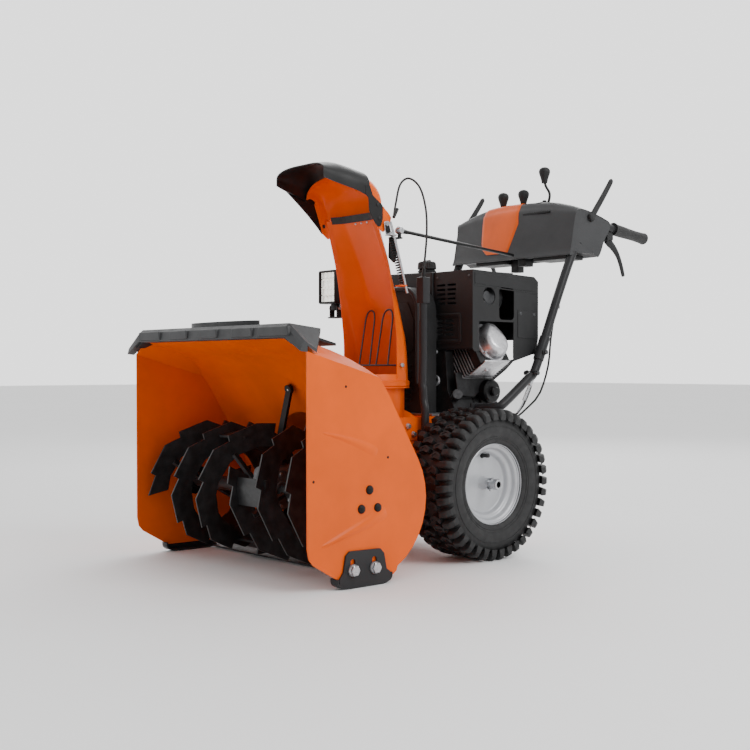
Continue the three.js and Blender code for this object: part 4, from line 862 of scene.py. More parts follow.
def chute_row(front, back, half, inset):
    """One side of the channel's wall at a level: side wall, slanting cheek, flat back and the same again,
    with the folds rounded."""
    cheek = max(back - 46, front + 12)
    right = [(half - inset, front), (half - 8 - inset, cheek - inset / 2), (60 - inset / 2, back - inset)]
    line = np.array(right + [(-x, y) for x, y in right[::-1]], float)
    points = [line[0]]
    for before, corner, after in zip(line[:-2], line[1:-1], line[2:]):
        a, b = before - corner, after - corner
        reach = min(9.0, 0.4 * np.linalg.norm(a), 0.4 * np.linalg.norm(b))
        a, b = a / np.linalg.norm(a) * reach, b / np.linalg.norm(b) * reach
        for t in np.linspace(0, 1, 5):
            points.append((1 - t) ** 2 * (corner + a) + 2 * t * (1 - t) * corner + t**2 * (corner + b))
    points.append(line[-1])
    return np.array(points)


class SNOWBLOWER_OT_chute(bpy.types.Operator):
    """Turning chute: ring, channel, guard, return spring, guide rod and turning rod"""

    bl_idname = "snowblower.chute"
    bl_label = "Chute"

    def execute(self, context):
        self.channel()
        self.fittings(context.scene.snowblower_sizes)
        wires = []
        for middle, half in ((-43, 20), (32, 22)):
            rise = np.array([0, 50, 100, 128, 146, 153, 155.5])
            out = half * np.array([1.12, 1.06, 1.0, 0.96, 0.74, 0.4, 0.0])
            right = np.stack([middle + out, -140 + 26 * rise / 155, 521 + rise], 1)
            left = right[:-1][::-1] * (-1, 1, 1) + (2 * middle, 0, 0)
            wires.append(tube(smooth(np.concatenate([right, left]), 6), 2.5, 14))
        wires.append(bar((-106.5, -140, 521), (106.5, -140, 521), 2.5, 14))
        add_piece("guard_wires", gather(*wires), "dark_steel", "chute", ("wire_guard",), angle=60)
        dress("chute_rod", "smooth_black", 0.6, angle=40)
        ball = joint_place("rod_swivel")
        knuckle = turned([(0, -12), (8, -10), (12.4, 0), (8, 10), (0, 12)], ball + (4, 0, 0), (1, 0, 0), 32)
        add_piece("rod_ball", knuckle, "zinc_plate", "turning_rod", slot="zinc_steel", angle=50)
        return {"FINISHED"}

    def channel(self):
        """The channel's stations follow one smooth curve upward; ring and collar are turned."""
        stations = smooth(CHUTE_STATIONS, 8)
        rings = []
        for z, front, back, half in stations:
            outer, inner = chute_row(front, back, half, 0), chute_row(front, back, half, CHUTE_WALL)
            rings.append(on_axis(np.concatenate([outer, inner[::-1]]), "z", z))
        base = 462.4
        ring = turned(
            [(104, base), (119.5, base), (122, base + 2.5), (122, base + 14), (119, base + 17), (115, base + 17.5), (114, base + 20),
             (114, base + 31), (112.5, base + 33.5), (110, base + 34), (105.5, base + 34), (104, base + 32.5)],
            (0, CHUTE_Y, 0), (0, 0, 1), 96, loop=True,
        )
        ball = joint_place("rod_swivel")
        arm = slab(
            rounded(
                [
                    (CHUTE_Y - 14, 812), (CHUTE_Y + 8, 796), (CHUTE_Y + 18, 842), (CHUTE_Y + 12, 866),
                    (CHUTE_Y - 12, 866)
                ],
                6
            ),
            "x", CHUTE_HALF - 2, CHUTE_HALF + 3,
        )
        tab = block((CHUTE_HALF, ball[1] - 9, 862), (ball[0] + 9, ball[1] + 9, 866), 0.8, 4)
        stud = bar((ball[0] + 4, ball[1], 864), (ball[0] + 4, ball[1], 873), 5)
        add_piece("chute_shell", gather(skin(rings), ring), "orange_coat", "chute", ("chute",), angle=32)
        add_piece("rod_arm", gather(arm, tab, stud), "black_coat", "chute", slot="black_paint", angle=32)

    def fittings(self, sizes):
        """Rivets, sealing strip, bolts on the guard's cross wire, coil spring, bracket and guide rod."""
        rivets = [dome_bolt((x, -203.5 - 6.5, 911), (0, -1, 0), 3.4, 1.8) for x in (2, 26, 50)]
        wire = [bar((s * 107.5, -140, 521), (s * 118, -140, 521), 3) for s in (1, -1)]
        nuts = [hex_bolt((s * 114, -140, 521), (s, 0, 0), 12, 5) for s in (1, -1)]
        add_piece("chute_rivets", gather(*rivets, *wire, *nuts), "zinc_plate", "chute", slot="zinc_steel")

        strip = chute_row(-229, -203, 106, -1.2)
        lip = chute_row(-229, -203, 106, 3.6)
        outline = np.concatenate([strip[4:-4], lip[4:-4][::-1]])
        add_piece(
            "chute_seal", skin(
                [on_axis(outline, "z", z) + (0, -0.28 * (z - 921), 0) for z in (917, 925, 936)]
            ),
            "soft_rubber", "chute", slot="soft_rubber", angle=50,
        )

        top, bottom = np.array([131.0, -194, 868]), np.array([133.0, -154, 742])
        u, v, w = basis(bottom - top)
        turns = sizes.spring_turns
        t = np.linspace(0, 1, turns * 18)[:, None]
        angle = 2 * math.pi * turns * t
        coil = top + (bottom - top) * t + 7.2 * (np.cos(angle) * u + np.sin(angle) * v)
        add_piece("return_spring", tube(coil, 1.7, 8), "smooth_black", "chute", ("deflector_spring",))

        rod = tube(
            smooth([(139, -203, 905), (141, -186, 850), (142, -165, 780), (143, -146, 716)], 6), 3.4, 16
        )
        tab_low = slab(
            rounded([(112, -163), (139, -170), (148, -150), (126, -136), (112, -140)], 4), "z", 734, 737.5
        )
        add_piece("spring_tab", tab_low, "orange_coat", "chute", slot="orange_paint")
        cheeks = [(-214, 905), (-196, 909), (-186, 872), (-208, 872)]
        bracket = gather(
            slab(rounded(cheeks, 5), "x", 123.4, 125.4),
            block((123.4, -210, 868), (147, -184, 871), 0.7, 3),
            bar((137, -197, 871), (137, -197, 878), 5.5),
            rod,
            hex_bolt((125, -204, 899), (1, 0, 0), 10, 4),
        )
        add_piece("guide_rod", bracket, "zinc_plate", "chute", slot="zinc_steel")
        dark = slab(rounded([(-210, 903), (-198, 905), (-190, 876), (-206, 876)], 3), "x", 125.4, 126.6)
        add_piece("bracket_face", dark, "smooth_black", "chute", slot="black_plastic")


def arched(half, low, shoulder, top, inset=0.0):
    """An arched section from one lower edge over the middle to the other, as (across, up): straight cheeks
    and a curve through the shoulder that is level in the middle."""
    keys = [
        (-half + inset, low), (-half + inset, shoulder), (
            -half * 0.72 + inset * 0.7, shoulder + (top - shoulder) * 0.7 - inset
        ),
        (0, top - inset), (
            half * 0.72 - inset * 0.7, shoulder + (top - shoulder) * 0.7 - inset
        ), (half - inset, shoulder), (half - inset, low),
    ]
    return smooth(keys, 6)


def domed(half, low, shoulder, top, inset=0.0):
    """A section with straight cheeks under one quarter-power arch, so that no fold shows."""
    angle = np.linspace(math.pi, 0, 41)
    x = np.sign(np.cos(angle)) * np.abs(np.cos(angle)) ** 0.78 * (half - inset)
    z = shoulder - 14 + (top - inset - shoulder + 14) * np.sin(angle) ** 0.82
    foot = [(-half + inset, low), (-half + inset, (low + shoulder) / 2 - 7)]
    return np.array(foot + list(zip(x, z)) + [(-a, b) for a, b in foot[::-1]])


class SNOWBLOWER_OT_deflector(bpy.types.Operator):
    """Deflector: orange hood hinged on the chute and the black tip over its end"""

    bl_idname = "snowblower.deflector"
    bl_label = "Deflector"

    def execute(self, context):
        hinge = np.array([0, HINGE_Y, HINGE_Z])
        # Place along Y and Z, lean in degrees, half width and rise of each section.
        hood = smooth(
            [
                (4, 8, -80, 119, 16), (0, 44, -62, 119, 22), (-18, 72, -46, 116, 26),
                (-48, 88, -28, 112, 27), (-74, 86, -16, 108, 27)
            ],
            7
        )
        rings = []
        for y, z, lean, half, rise in hood:
            c, s = math.cos(math.radians(lean)), math.sin(math.radians(lean))
            row = np.concatenate([arched(half, -34, -8, rise), arched(half, -34, -8, rise, 3)[::-1]])
            x, h = row.T
            rings.append(np.stack([x, y - s * h, z + c * h], 1) + hinge)
        cheek = rounded(
            [
                (-48, 48), (-26, -12), (-18, -35), (3, -51), (28, -25), (32, -7), (21, 5), (-2, 23),
                (-32, 58)
            ],
            7
        )
        cheeks = [moved(slab(cheek, "x", s * 116, s * 119), hinge) for s in (1, -1)]
        pins = [bar(hinge + (s * 106.5, 0, 0), hinge + (s * 117, 0, 0), 6) for s in (1, -1)]
        add_piece(
            "hood_shell", gather(skin(rings), *cheeks, *pins), "orange_coat", "deflector",
            ("deflector_hood",), angle=42
        )

        # Place along Y, heights of lower edge, shoulder and middle, half width, set-back of the middle.
        tip = smooth(
            [
                (-48, 41, 82, 121, 122.4, 4), (-85, 54, 83, 130, 119.4, 4), (-128, 65, 92, 136, 112.4, 6),
                (-162, 73, 102, 132, 108.4, 8), (-188, 81, 112, 127, 104.4, 14)
            ],
            7
        )
        rings = []
        for y, low, shoulder, top, half, back in tip:
            row = np.concatenate(
                [domed(half, low, shoulder, top), domed(half, low, shoulder, top, 3)[::-1]]
            )
            x, h = row.T
            set_back = back * np.clip(1 - np.abs(x) / half, 0, 1) ** 0.8
            rings.append(np.stack([x, y + set_back, h], 1) + hinge)
        tab = rounded(
            [
                (-62, 47), (-51, 38), (-48, 3), (-40, -10), (-26, -29), (-16, -37), (-8, -34), (-1, -15),
                (-1, 22), (-36, 45), (-48, 73), (-62, 73)
            ],
            8
        )
        deep = rounded(
            [
                (-170, 92), (-134, 66), (-99, 39), (-64, 10), (-34, -18), (-16, -37), (-8, -34), (-1, -15),
                (-1, 22), (-36, 60), (-70, 80), (-120, 96), (-166, 100)
            ],
            8
        )
        tabs = [
            moved(slab(outline, "x", s * 119.4, s * 122.4), hinge) for s, outline in ((1, tab), (-1, deep))
        ]
        add_piece(
            "tip_shell", gather(skin(rings), *tabs), "smooth_black", "deflector", ("deflector_tip",),
            angle=42
        )
        bolts = [
            dome_bolt(hinge + (s * 122.4, y, z), (s, 0, 0), 5.5, 2.4) for s in (1, -1) for y,
            z in ((-14, -14), (-20, 22))
        ]
        inner = [
            dome_bolt(hinge + (s * 116, y, z), (-s, 0, 0), 5.5, 2.4) for s in (1, -1) for y,
            z in ((-14, -14), (4, 14))
        ]
        add_piece(
            "deflector_bolts", gather(*bolts, *inner), "smooth_black", "deflector", slot="black_plastic"
        )
        return {"FINISHED"}


# ------------------------------------------------------------------ posts and work light
POST_PATH = (
    (167.4, -103, 314), (167.4, -102, 396), (159.4, -100, 425), (156, -99, 455), (152, -98, 480),
    (152, -95, 560), (152, -95, 757)
)


class SNOWBLOWER_OT_posts(bpy.types.Operator):
    """Support posts of round tube, flattened at the top, and the work light on its bracket"""

    bl_idname = "snowblower.posts"
    bl_label = "Posts and Work Light"

    def execute(self, context):
        for name, side in SIDES:
            path = smooth(POST_PATH, 8) * (side, 1, 1)
            parts = [tube(path, 11, 24), block((side * 150.4, -116, 314), (side * 167, -86, 346), 1, 2)]
            if side > 0:
                outline = rounded([(138, 690), (166, 690), (166, 761), (138, 761)], 3)
                parts.append(slab(outline, "y", -108, -82, 1.6))
            else:
                parts += self.bracket()
            add_piece(
                "post_" + name, gather(*parts), "tube_coat", replaces=("support_post_" + name,), angle=35
            )
        bolts = [hex_bolt((s * 170, -101, 330), (s, 0, 0), 13, 5, 17) for s in (1, -1)]
        add_piece("post_bolts", gather(*bolts), "zinc_plate", slot="zinc_steel")
        self.lamp()
        return {"FINISHED"}

    def bracket(self):
        """A flat arm from the post out to two ears that hold the lamp."""
        x, y, z = joint_place("lamp_tilt")
        arm = rounded([(-144, -104), (-144, -86), (x - 22, y + 14), (x - 22, y - 14), (x + 22, y - 14)], 5)
        ears = [
            slab(
                rounded([(y - 9, 662), (y + 9, 662), (y + 9, z + 9), (y - 9, z + 9)], 6), "x", x + at,
                x + at + 4
            )
            for at in (-18, 14)
        ]
        return [slab(arm, "z", 660, 664), *ears]

    def lamp(self):
        """A finned square housing: a rounded frame round a field of round reflectors in square cells."""
        x, y, z = joint_place("lamp_tilt")
        at = lambda a, b, c: (x + a, y + b, z + c)
        half, low, top = 39, 12, 110
        outer = rounded(
            [(x - half, z + low), (x + half, z + low), (x + half, z + top), (x - half, z + top)], 6
        )
        inner = shrunk(outer, 6)
        frame_rings = [
            on_axis(o, "y", y + d) for o,
            d in (
                (outer, -2), (outer, -31), (shrunk(outer, 1.5), -34), (shrunk(outer, 4.5), -34),
                (inner, -32), (inner, -24), (inner, -2)
            )
        ]
        shell = skin(frame_rings, loop=True)
        back = slab(shrunk(outer, 0.8), "y", y - 6, y)
        fins = [
            block(
                at(-28 + 14 * i - 2, -2, low + 8), at(-28 + 14 * i + 2, 14, low + 88), 0.6, 1.2
            ) for i in range(5)
        ]
        foot = block(at(-13, -8, -7), at(13, 8, low + 4), 1, 3, "x")
        add_piece(
            "lamp_housing", gather(shell, back, *fins, foot), "black_coat", "lamp", ("work_light",),
            angle=40
        )
        cells = []
        for i in range(4):
            for k in range(4):
                cx, cz = -24.2 + 16.1 * i, low + 13.5 + 23.6 * k
                rim = rounded(
                    [
                        (x + cx - 7.9, z + cz - 11.6), (x + cx + 7.9, z + cz - 11.6),
                        (x + cx + 7.9, z + cz + 11.6), (x + cx - 7.9, z + cz + 11.6)
                    ],
                    1.2, 2
                )
                middle = np.mean(rim, 0)
                cone = [
                    on_axis(middle + (rim - middle) * s, "y", y + d) for s,
                    d in ((1, -7), (1, -26), (0.92, -27.5), (0.6, -17), (0.34, -10))
                ]
                cells.append(skin(cone))
        add_piece("lamp_reflectors", gather(*cells), "reflector", "lamp", slot="zinc_steel", angle=35)
        knobs = [hex_bolt(at(s * 19, 0, 0), (s, 0, 0), 12, 5) for s in (1, -1)]
        add_piece("lamp_bolts", gather(*knobs), "zinc_plate", slot="zinc_steel")


# ------------------------------------------------------------------ engine
CYLINDER = {"tilt": 32.0, "middle": (30.0, 136.0, 478.0)}


def on_cylinder(along, across, y):
    """A point along and square to the tilted cylinder's axis."""
    c, s = math.cos(math.radians(CYLINDER["tilt"])), math.sin(math.radians(CYLINDER["tilt"]))
    x0, _, z0 = CYLINDER["middle"]
    return np.array([x0 + c * along - s * across, y, z0 + s * along + c * across])


class SNOWBLOWER_OT_engine(bpy.types.Operator):
    """Engine block with its valve cover, bolts, starter motor, shroud, tank and belt cover"""

    bl_idname = "snowblower.engine"
    bl_label = "Engine"

    def execute(self, context):
        sizes = context.scene.snowblower_sizes
        edge = sizes.moulded_edge
        dress("engine_block", "sooty_casting", 0.8, angle=30)
        dress("engine_plate", "cast_alloy", 0.8)
        dress("engine_shroud", "black_plastic", edge * 0.7, angle=30)
        dress("fuel_tank", "black_plastic", edge * 3)
        dress("belt_cover", "black_plastic", edge * 0.7, angle=30)
        dress("muffler", "dark_steel", 1.2)
        dress("engine_pulley", "dark_steel", 0.4)
        dress("drive_belt", "soft_rubber", 0.8)
        dress("recoil_handle", "black_plastic", 1.5)
        self.valve_cover()
        self.fasteners()
        self.covers()
        self.fuel_cap(sizes)
        return {"FINISHED"}

    def valve_cover(self):
        """A drop-shaped dome: one closed curve that shrinks and rounds over as it leaves the head."""
        keys = [
            (-44, 10), (-38, -20), (-14, -40), (16, -40), (38, -22), (47, 8), (36, 46), (12, 74), (-12, 72),
            (-36, 42)
        ]
        drop = smooth(keys, 6, closed=True)
        start, y = 176.4, CYLINDER["middle"][1]

        def ring(grow, along):
            return np.array([on_cylinder(along, b * grow - 4, y + a * grow) for a, b in drop])

        flange = skin(
            [
                ring(1.05, start), ring(1.06, start + 1), ring(1.06, start + 5), ring(1.03, start + 6.5),
                ring(0.95, start + 6.5)
            ]
        )
        levels = [
            (0.94, 6), (0.925, 14), (0.9, 24), (0.86, 33), (0.79, 39.5), (0.68, 43.2), (0.5, 44.6),
            (0.25, 44.8)
        ]
        dome = skin([ring(g, start + a) for g, a in levels])
        path = np.array([on_cylinder(start + 40.5, b * 0.6 - 4, y + a * 0.55) for a, b in drop[6:34]])
        add_piece(
            "valve_cover_dome", gather(flange, dome, tube(path, 2.2, 10)), "bright_casting",
            replaces=("valve_cover",), angle=42
        )
        out = on_cylinder(1, 0, 0) - on_cylinder(0, 0, 0)
        bolts = [
            hex_bolt(on_cylinder(start + 6.4, b * 1.0 - 4, y + a * 1.0), out, 8, 5, 11) for a,
            b in (keys[1], keys[4], keys[6], keys[9])
        ]
        add_piece("valve_cover_bolts", gather(*bolts), "zinc_plate", slot="zinc_steel")

    def fasteners(self):
        """Studs beside the fins, the heat shield under the head, drain ring, starter motor and its bracket."""
        y = CYLINDER["middle"][1]
        out = on_cylinder(0, 1, 0) - on_cylinder(0, 0, 0)
        along = on_cylinder(1, 0, 0) - on_cylinder(0, 0, 0)
        studs = []
        for a in (40, 66):
            base = on_cylinder(a, 50, y - 52)
            studs += [bar(base, base + out * 16, 4), hex_bolt(base + out * 10, out, 11, 7, 15)]
        for s in (-1, 1):
            studs.append(bar(on_cylinder(146, -48, y + s * 30), on_cylinder(174, -48, y + s * 30), 7.5))
        studs.append(hex_bolt((60, 42, 560), (0, -1, 0), 11, 5, 15))
        studs.append(hex_bolt((-70, 42, 552), (0, -1, 0), 11, 5, 15))
        add_piece("engine_studs", gather(*studs), "zinc_plate", slot="zinc_steel")

        shield = [
            on_cylinder(118, -54, 0), on_cylinder(186, -54, 0), on_cylinder(192, -50, 0),
            on_cylinder(192, -57, 0), on_cylinder(118, -57, 0)
        ]
        outline = rounded([(p[0], p[2]) for p in shield], 2.5)
        parts = [slab(outline, "y", y - 60, y + 40, 1.0)]
        lug = on_cylinder(150, -57, y - 20)
        parts.append(bar(lug, lug - out * 6, 5))
        parts.append(
            turned(
                [(7, 0), (14.5, 0), (15.6, 1.2), (15.6, 7), (14, 8.5), (9.5, 8.5), (8, 3), (7, 3)],
                (59, 44, 477), (0.25, -1, 0.12), 40, loop=True
            )
        )
        add_piece("heat_shield", gather(*parts), "bright_casting", slot="cast_alloy")

        # painted highlight: bars of lighter cast alloy along the fins' front and lower edges, over the darker block,
        # stand in for light catching the edges
        edges = []
        for i in range(8):
            a = 73.7 + 10 * i
            edges.append(bar(on_cylinder(a, -50, y - 60), on_cylinder(a, 50, y - 60), 1.9, 10, 0.3))
            edges.append(bar(on_cylinder(a, -50, y - 60), on_cylinder(a, -50, y + 60), 1.6, 10, 0.3))
        add_piece("fin_edges", gather(*edges), "cast_alloy", slot="cast_alloy", angle=50)

        x0, z0 = 110, 446
        motor = gather(
            bar((x0 - 40, 176, z0), (x0 + 48, 176, z0), 34, 48, 5),
            bar((x0 + 40, 176, z0), (x0 + 60, 176, z0), 14, 32, 3),
            block((x0 - 30, 150, z0 - 60), (x0 + 26, 206, z0 - 8), 3, 8, "y"),
            bar((x0 + 6, 128, z0 - 30), (x0 + 6, 152, z0 - 30), 12, 24, 2),
        )
        add_piece("starter_motor", motor, "smooth_black", slot="black_plastic", angle=40)
        guard = rounded(
            [(48, 500), (186, 508), (306, 545), (258, 508), (186, 466), (123, 431), (58, 436)], 7
        )
        ribs = [bar((127, 66 + 17 * k, 440 + 3 * k), (127, 66 + 17 * k, 496), 3.4, 12) for k in range(6)]
        sump = block((-98, 52, 387), (118, 210, 440), 4, 14)
        add_piece(
            "engine_guard", gather(slab(guard, "x", 128, 133, 1.4), *ribs, sump), "sooty_casting",
            slot="cast_alloy"
        )

    def covers(self):
        """Seams, a raised frame round the lower louvres, screws on the shroud and the belt cover's tube."""
        low, high = node_box("engine_shroud")
        front, x1 = low[1], high[0]
        outer = rounded([(44 + 14, 582), (166, 582), (166, 668), (58, 668)], 12)
        band = [
            on_axis(o, "y", front + d) for o,
            d in (
                (outer, 0.6), (outer, -2.2), (shrunk(outer, 1), -3), (shrunk(outer, 9), -3),
                (shrunk(outer, 11), -1.4), (shrunk(outer, 12), 0.6)
            )
        ]
        parts = [skin(band, loop=True)]
        side_lip = [(front + 6, 742), (high[1] - 3, 728), (high[1] - 3, 731), (front + 6, 745)]
        parts.append(slab(side_lip, "x", x1 - 1, x1 + 0.9, 0.5))
        parts.append(
            slab(rounded([(222, 600), (306, 597), (306, 676), (222, 680)], 5), "x", x1 - 1, x1 + 1.6, 0.8)
        )
        parts.append(
            slab(
                rounded([(front + 8, 748), (high[1] - 20, 735), (high[1] - 20, 765), (front + 8, 780)], 5),
                "x", x1 - 1, x1 + 1.2, 0.7
            )
        )
        parts.append(
            slab(
                rounded([(70, 782), (196, 782), (196, 786), (70, 786)], 1.5), "y", front + 2, front + 180,
                0.8
            )
        )
        add_piece("shroud_panels", gather(*parts), "black_plastic", slot="black_plastic", angle=40)
        screws = [
            dome_bolt((x1 + 1.4, y, z), (1, 0, 0), 5.2, 2) for y, z in ((234, 670), (292, 668), (300, 560))
        ]
        screws += [dome_bolt((x, front, z), (0, -1, 0), 4, 1.8) for x, z in ((70, 770), (196, 770))]
        add_piece("shroud_screws", gather(*screws), "dark_steel", slot="dark_steel")

        box_low, box_high = node_box("belt_cover")
        y, half, top = box_low[1] - 7, box_high[0] - 6, box_high[2] - 6
        bend = 60
        arc = circle_points(13, 0, math.pi / 2, closed=False) * bend
        right = [(half, 470), (half, 600), *(arc + (half - bend, top - bend))]
        line = np.array(right + [(-a, b) for a, b in right[::-1]])
        add_piece(
            "cover_hoop", tube(on_axis(line, "y", y), 6.5, 16), "tube_coat", slot="black_paint", angle=60
        )
        plate_line = rounded([(-60, 560), (60, 560), (60, 650), (36, 700), (-36, 700), (-60, 650)], 14)
        raised = slab(plate_line, "y", box_low[1] - 2.4, box_low[1] + 1, 1.2)
        ribs = [
            block(
                (-50, box_low[1] - 3, 420 + 16 * k), (50, box_low[1] + 1, 426 + 16 * k), 0.8, 1.5, "y"
            ) for k in range(7)
        ]
        add_piece("cover_panels", gather(raised, *ribs), "black_plastic", slot="black_plastic", angle=40)

    def fuel_cap(self, sizes):
        """A round cap whose rim swells and dips evenly: radius plus a cosine of the angle."""
        low, high = node_box("fuel_cap")
        x, y = (low[:2] + high[:2]) / 2
        count = sizes.cap_ribs * 8
        c = circle_points(count)
        wave = np.cos(np.arange(count) * 2 * math.pi / 8)
        rings = []
        for h, r, depth in (
            (0, 26, 0), (1.5, 27.6, 0), (4, 27.6, 0), (5, 26.6, 0.7), (17, 25.6, 0.7), (19.5, 24.6, 0.5),
            (22, 22, 0), (22.8, 17, 0), (21.5, 15, 0), (21.5, 2, 0)
        ):
            rings.append(
                np.concatenate(
                    [(x, y) + c * (r + depth * wave)[:, None], np.full((count, 1), low[2] + h)], 1
                )
            )
        grip = block((x - 15, y - 3, high[2] - 2), (x + 15, y + 3, high[2] + 4), 1.2, 2.5)
        add_piece(
            "fuel_cap_ribbed", gather(skin(rings), grip), "black_plastic", "fuel_cap", ("fuel_cap",),
            angle=35
        )
        neck = turned([(0, 800), (27, 800), (27, 803), (22, 808), (0, 808)], (x, y, -8), (0, 0, 1), 48)
        add_piece("tank_neck", neck, "black_plastic", slot="black_plastic")


class SNOWBLOWER_OT_transmission(bpy.types.Operator):
    """Transmission case with its bolts"""

    bl_idname = "snowblower.transmission"
    bl_label = "Transmission"

    def execute(self, context):
        dress("transmission_case", "orange_coat", context.scene.snowblower_sizes.sheet_edge, angle=30)
        low, high = node_box("transmission_case")
        half = 150
        bolts = [
            hex_bolt((s * half, y, z), (s, 0, 0), 12, 5, 17)
            for s in (1, -1)
            for y, z in (
                (-150, 356), (-130, 334), (20, 364), (130, 364), (130, 130), (-50, 130), (-50, 300)
            )
        ]
        bolts += [
            hex_bolt((x, high[1], z), (0, 1, 0), 12, 5, 17) for x in (-120, 0, 120) for z in (130, 364)
        ]
        add_piece("case_bolts", gather(*bolts), "zinc_plate", slot="zinc_steel")
        return {"FINISHED"}


# ------------------------------------------------------------------ wheels
class SNOWBLOWER_OT_wheels(bpy.types.Operator):
    """Lugged tyres, pressed rims, valves, half axles and their locking pins"""

    bl_idname = "snowblower.wheels"
    bl_label = "Wheels"

    def execute(self, context):
        sizes = context.scene.snowblower_sizes
        for name, side in SIDES:
            middle = joint_place("wheel_%s_spin" % name)
            middle[0] = side * 265
            self.tyre(name, side, middle, sizes)
            self.rim(name, side, middle, sizes)
        return {"FINISHED"}

    def tyre(self, name, side, middle, sizes):
        """The carcass is turned; a lug is a block whose corners lie on polar coordinates of the tread, and
        each row has two long bent lugs from the shoulders and two short ones between them."""
        half, radius, bead = sizes.tyre_width / 2, sizes.tyre_radius, sizes.rim_radius + 0.6
        base = radius - 15
        keys = [
            (bead, -half * 0.56), (bead + 1, -half * 0.7), (bead + 6, -half * 0.8), (bead + 10, -half * 0.84), (bead + 14, -half * 0.86),
            (bead + 34, -half * 0.94), (bead + 56, -half * 0.93), (base - 9, -half * 0.84), (base - 2, -half * 0.6), (base + 1, 0),
        ]
        line = smooth(keys, 5)
        profile = np.concatenate([line, line[:-1][::-1] * (1, -1)])
        carcass = turned(profile, middle, (1, 0, 0), 120, loop=True)
        lugs = []
        step = 2 * math.pi / sizes.lug_count
        width = step * radius * 0.5
        for k in range(sizes.lug_count):
            for shoulder, turn in ((1, 0.0), (-1, 0.5)):
                angle = (k + turn) * step
                lugs.append(
                    self.lug(
                        middle, radius, half, angle, shoulder,
                        ((1.03, 3, -14), (0.96, 1, -4), (0.88, 0, -0.8), (0.6, -3, 0)), width
                    )
                )
                inner = angle + step * (0.32 if k % 2 else 0.5)
                lugs.append(self.pad(middle, radius - 1.5, half, inner, shoulder, width))
        add_piece(
            "tyre_tread_" + name, gather(carcass, *lugs), "tyre_rubber", "wheel_" + name, ("tyre_" + name,),
            angle=40
        )
        rings = [turned([(r - 1, half * w - 1.2), (r + 1, half * w - 1.2), (r + 0.6, half * w + 0.5), (r - 0.6, half * w + 0.5)], middle, (side, 0, 0), 96, loop=True)
                 for r, w in ((bead + 18, 0.885), (bead + 24, 0.91), (bead + 52, 0.945))]
        add_piece("tyre_rings_" + name, gather(*rings), "tyre_rubber", "wheel_" + name, slot="tyre")

    def lug(self, middle, radius, half, angle, shoulder, keys, width):
        """A bent bar over the tread: stations of (share of the half width, shift along the tread, drop), with
        flanks that lean outward towards the foot."""
        rings = []
        for share, shift, drop in keys:
            section = []
            for r, t in (
                (radius - 19 + min(drop, 0) * 0.8, -width * 0.72), (radius + drop - 1.2, -width / 2),
                (radius + drop, -width / 2 + 1.4), (radius + drop, width / 2 - 1.4),
                (radius + drop - 1.2, width / 2), (radius - 19 + min(drop, 0) * 0.8, width * 0.72)
            ):
                a = angle + (t + shift) / radius
                section.append((shoulder * half * share, -r * math.cos(a), r * math.sin(a)))
            rings.append(np.array(section) + middle)
        return skin(rings)

    def pad(self, middle, radius, half, angle, shoulder, width):
        """A hollow arrow of rubber between the shoulders: its outline is laid on the tread in polar
        coordinates and given a wall, so that only its rim stands up."""
        arrow = rounded(
            [(0.54, -0.55), (0.54, 0.45), (0.3, 0.95), (0.06, 0.3), (0.1, -0.5), (0.3, -0.1)], 0.06, 2
        )

        def ring(outline, r):
            a = angle + outline[:, 1] * width / r
            return np.stack([shoulder * half * outline[:, 0], -r * np.cos(a), r * np.sin(a)], 1) + middle

        def middle_of(outline, share):
            return np.mean(outline, 0) + (outline - np.mean(outline, 0)) * share

        inner = middle_of(arrow, 0.6)
        return skin(
            [
                ring(arrow, radius - 14), ring(arrow, radius - 0.8), ring(middle_of(arrow, 0.94), radius),
                ring(inner, radius), ring(inner, radius - 1.8)
            ]
        )

    def rim(self, name, side, middle, sizes):
        """A rolled barrel with a stepped bead seat and a dished disc, turned from one smooth profile; h grows
        away from the machine."""
        r = sizes.rim_radius
        outer = smooth(
            [
                (14, 20), (40, 20), (70, 20), (77, 20.5), (80, 23), (82, 29), (84, 33), (87, 35.5),
                (91, 37), (94, 40), (95.5, 46), (97.5, 50), (101, 52.5), (105, 54.5), (108, 58),
                (108.5, 61.5), (106.5, 63)
            ],
            5
        )
        inner = smooth(
            [
                (105.6, 61), (106.6, 58), (104, 56.4), (r - 0.2, 54), (r, 40), (r - 1, 0), (r, -36),
                (r - 0.2, -46), (106, -52), (109, -58), (107, -61), (103, -58), (99.5, -47), (99, -30),
                (98.6, 26), (94, 33), (87, 31.5), (82, 25), (77, 17), (60, 16.5), (14, 16.5)
            ],
            5
        )
        disc = turned(np.concatenate([outer, inner]), middle, (side, 0, 0), 96, loop=True)
        hub = turned(
            [(10.4, 16), (19, 19), (17, 22), (15.4, 24), (15, 40), (14.2, 41), (10.4, 41)], middle,
            (side, 0, 0), 48, loop=True
        )
        tail = turned(
            [(10.4, -62), (17, -62), (18, -61), (18, 17), (10.4, 17)], middle, (side, 0, 0), 48, loop=True
        )
        add_piece(
            "rim_pressing_" + name, gather(disc, hub, tail), "rim_enamel", "wheel_" + name,
            ("rim_" + name,), angle=40
        )
        stem_base = middle + np.array([side * 15, -3, 74])
        profile = [(0, 0), (7, 0), (7, 7), (5.4, 10), (5, 22), (6, 22.5), (6, 30), (4, 32), (0, 32)]
        valve = turned(profile, stem_base, (side, -0.05, 0.06), 24)
        add_piece("rim_valve_" + name, valve, "soft_rubber", "wheel_" + name, slot="soft_rubber")
        self.axle(name, side, middle)

    def axle(self, name, side, middle):
        """A round shaft with a collar, a cross pin and a hollow end cap; the cap's bore holds painted shade, a black
        plug.
        """
        low, high = node_box("axle_" + name)
        inner, outer = sorted((low[0], high[0]), key=abs)
        _, y, z = middle

        def ring(start, profile, segments=44):
            return turned(profile, (middle[0] + side * start, y, z), (side, 0, 0), segments, loop=True)

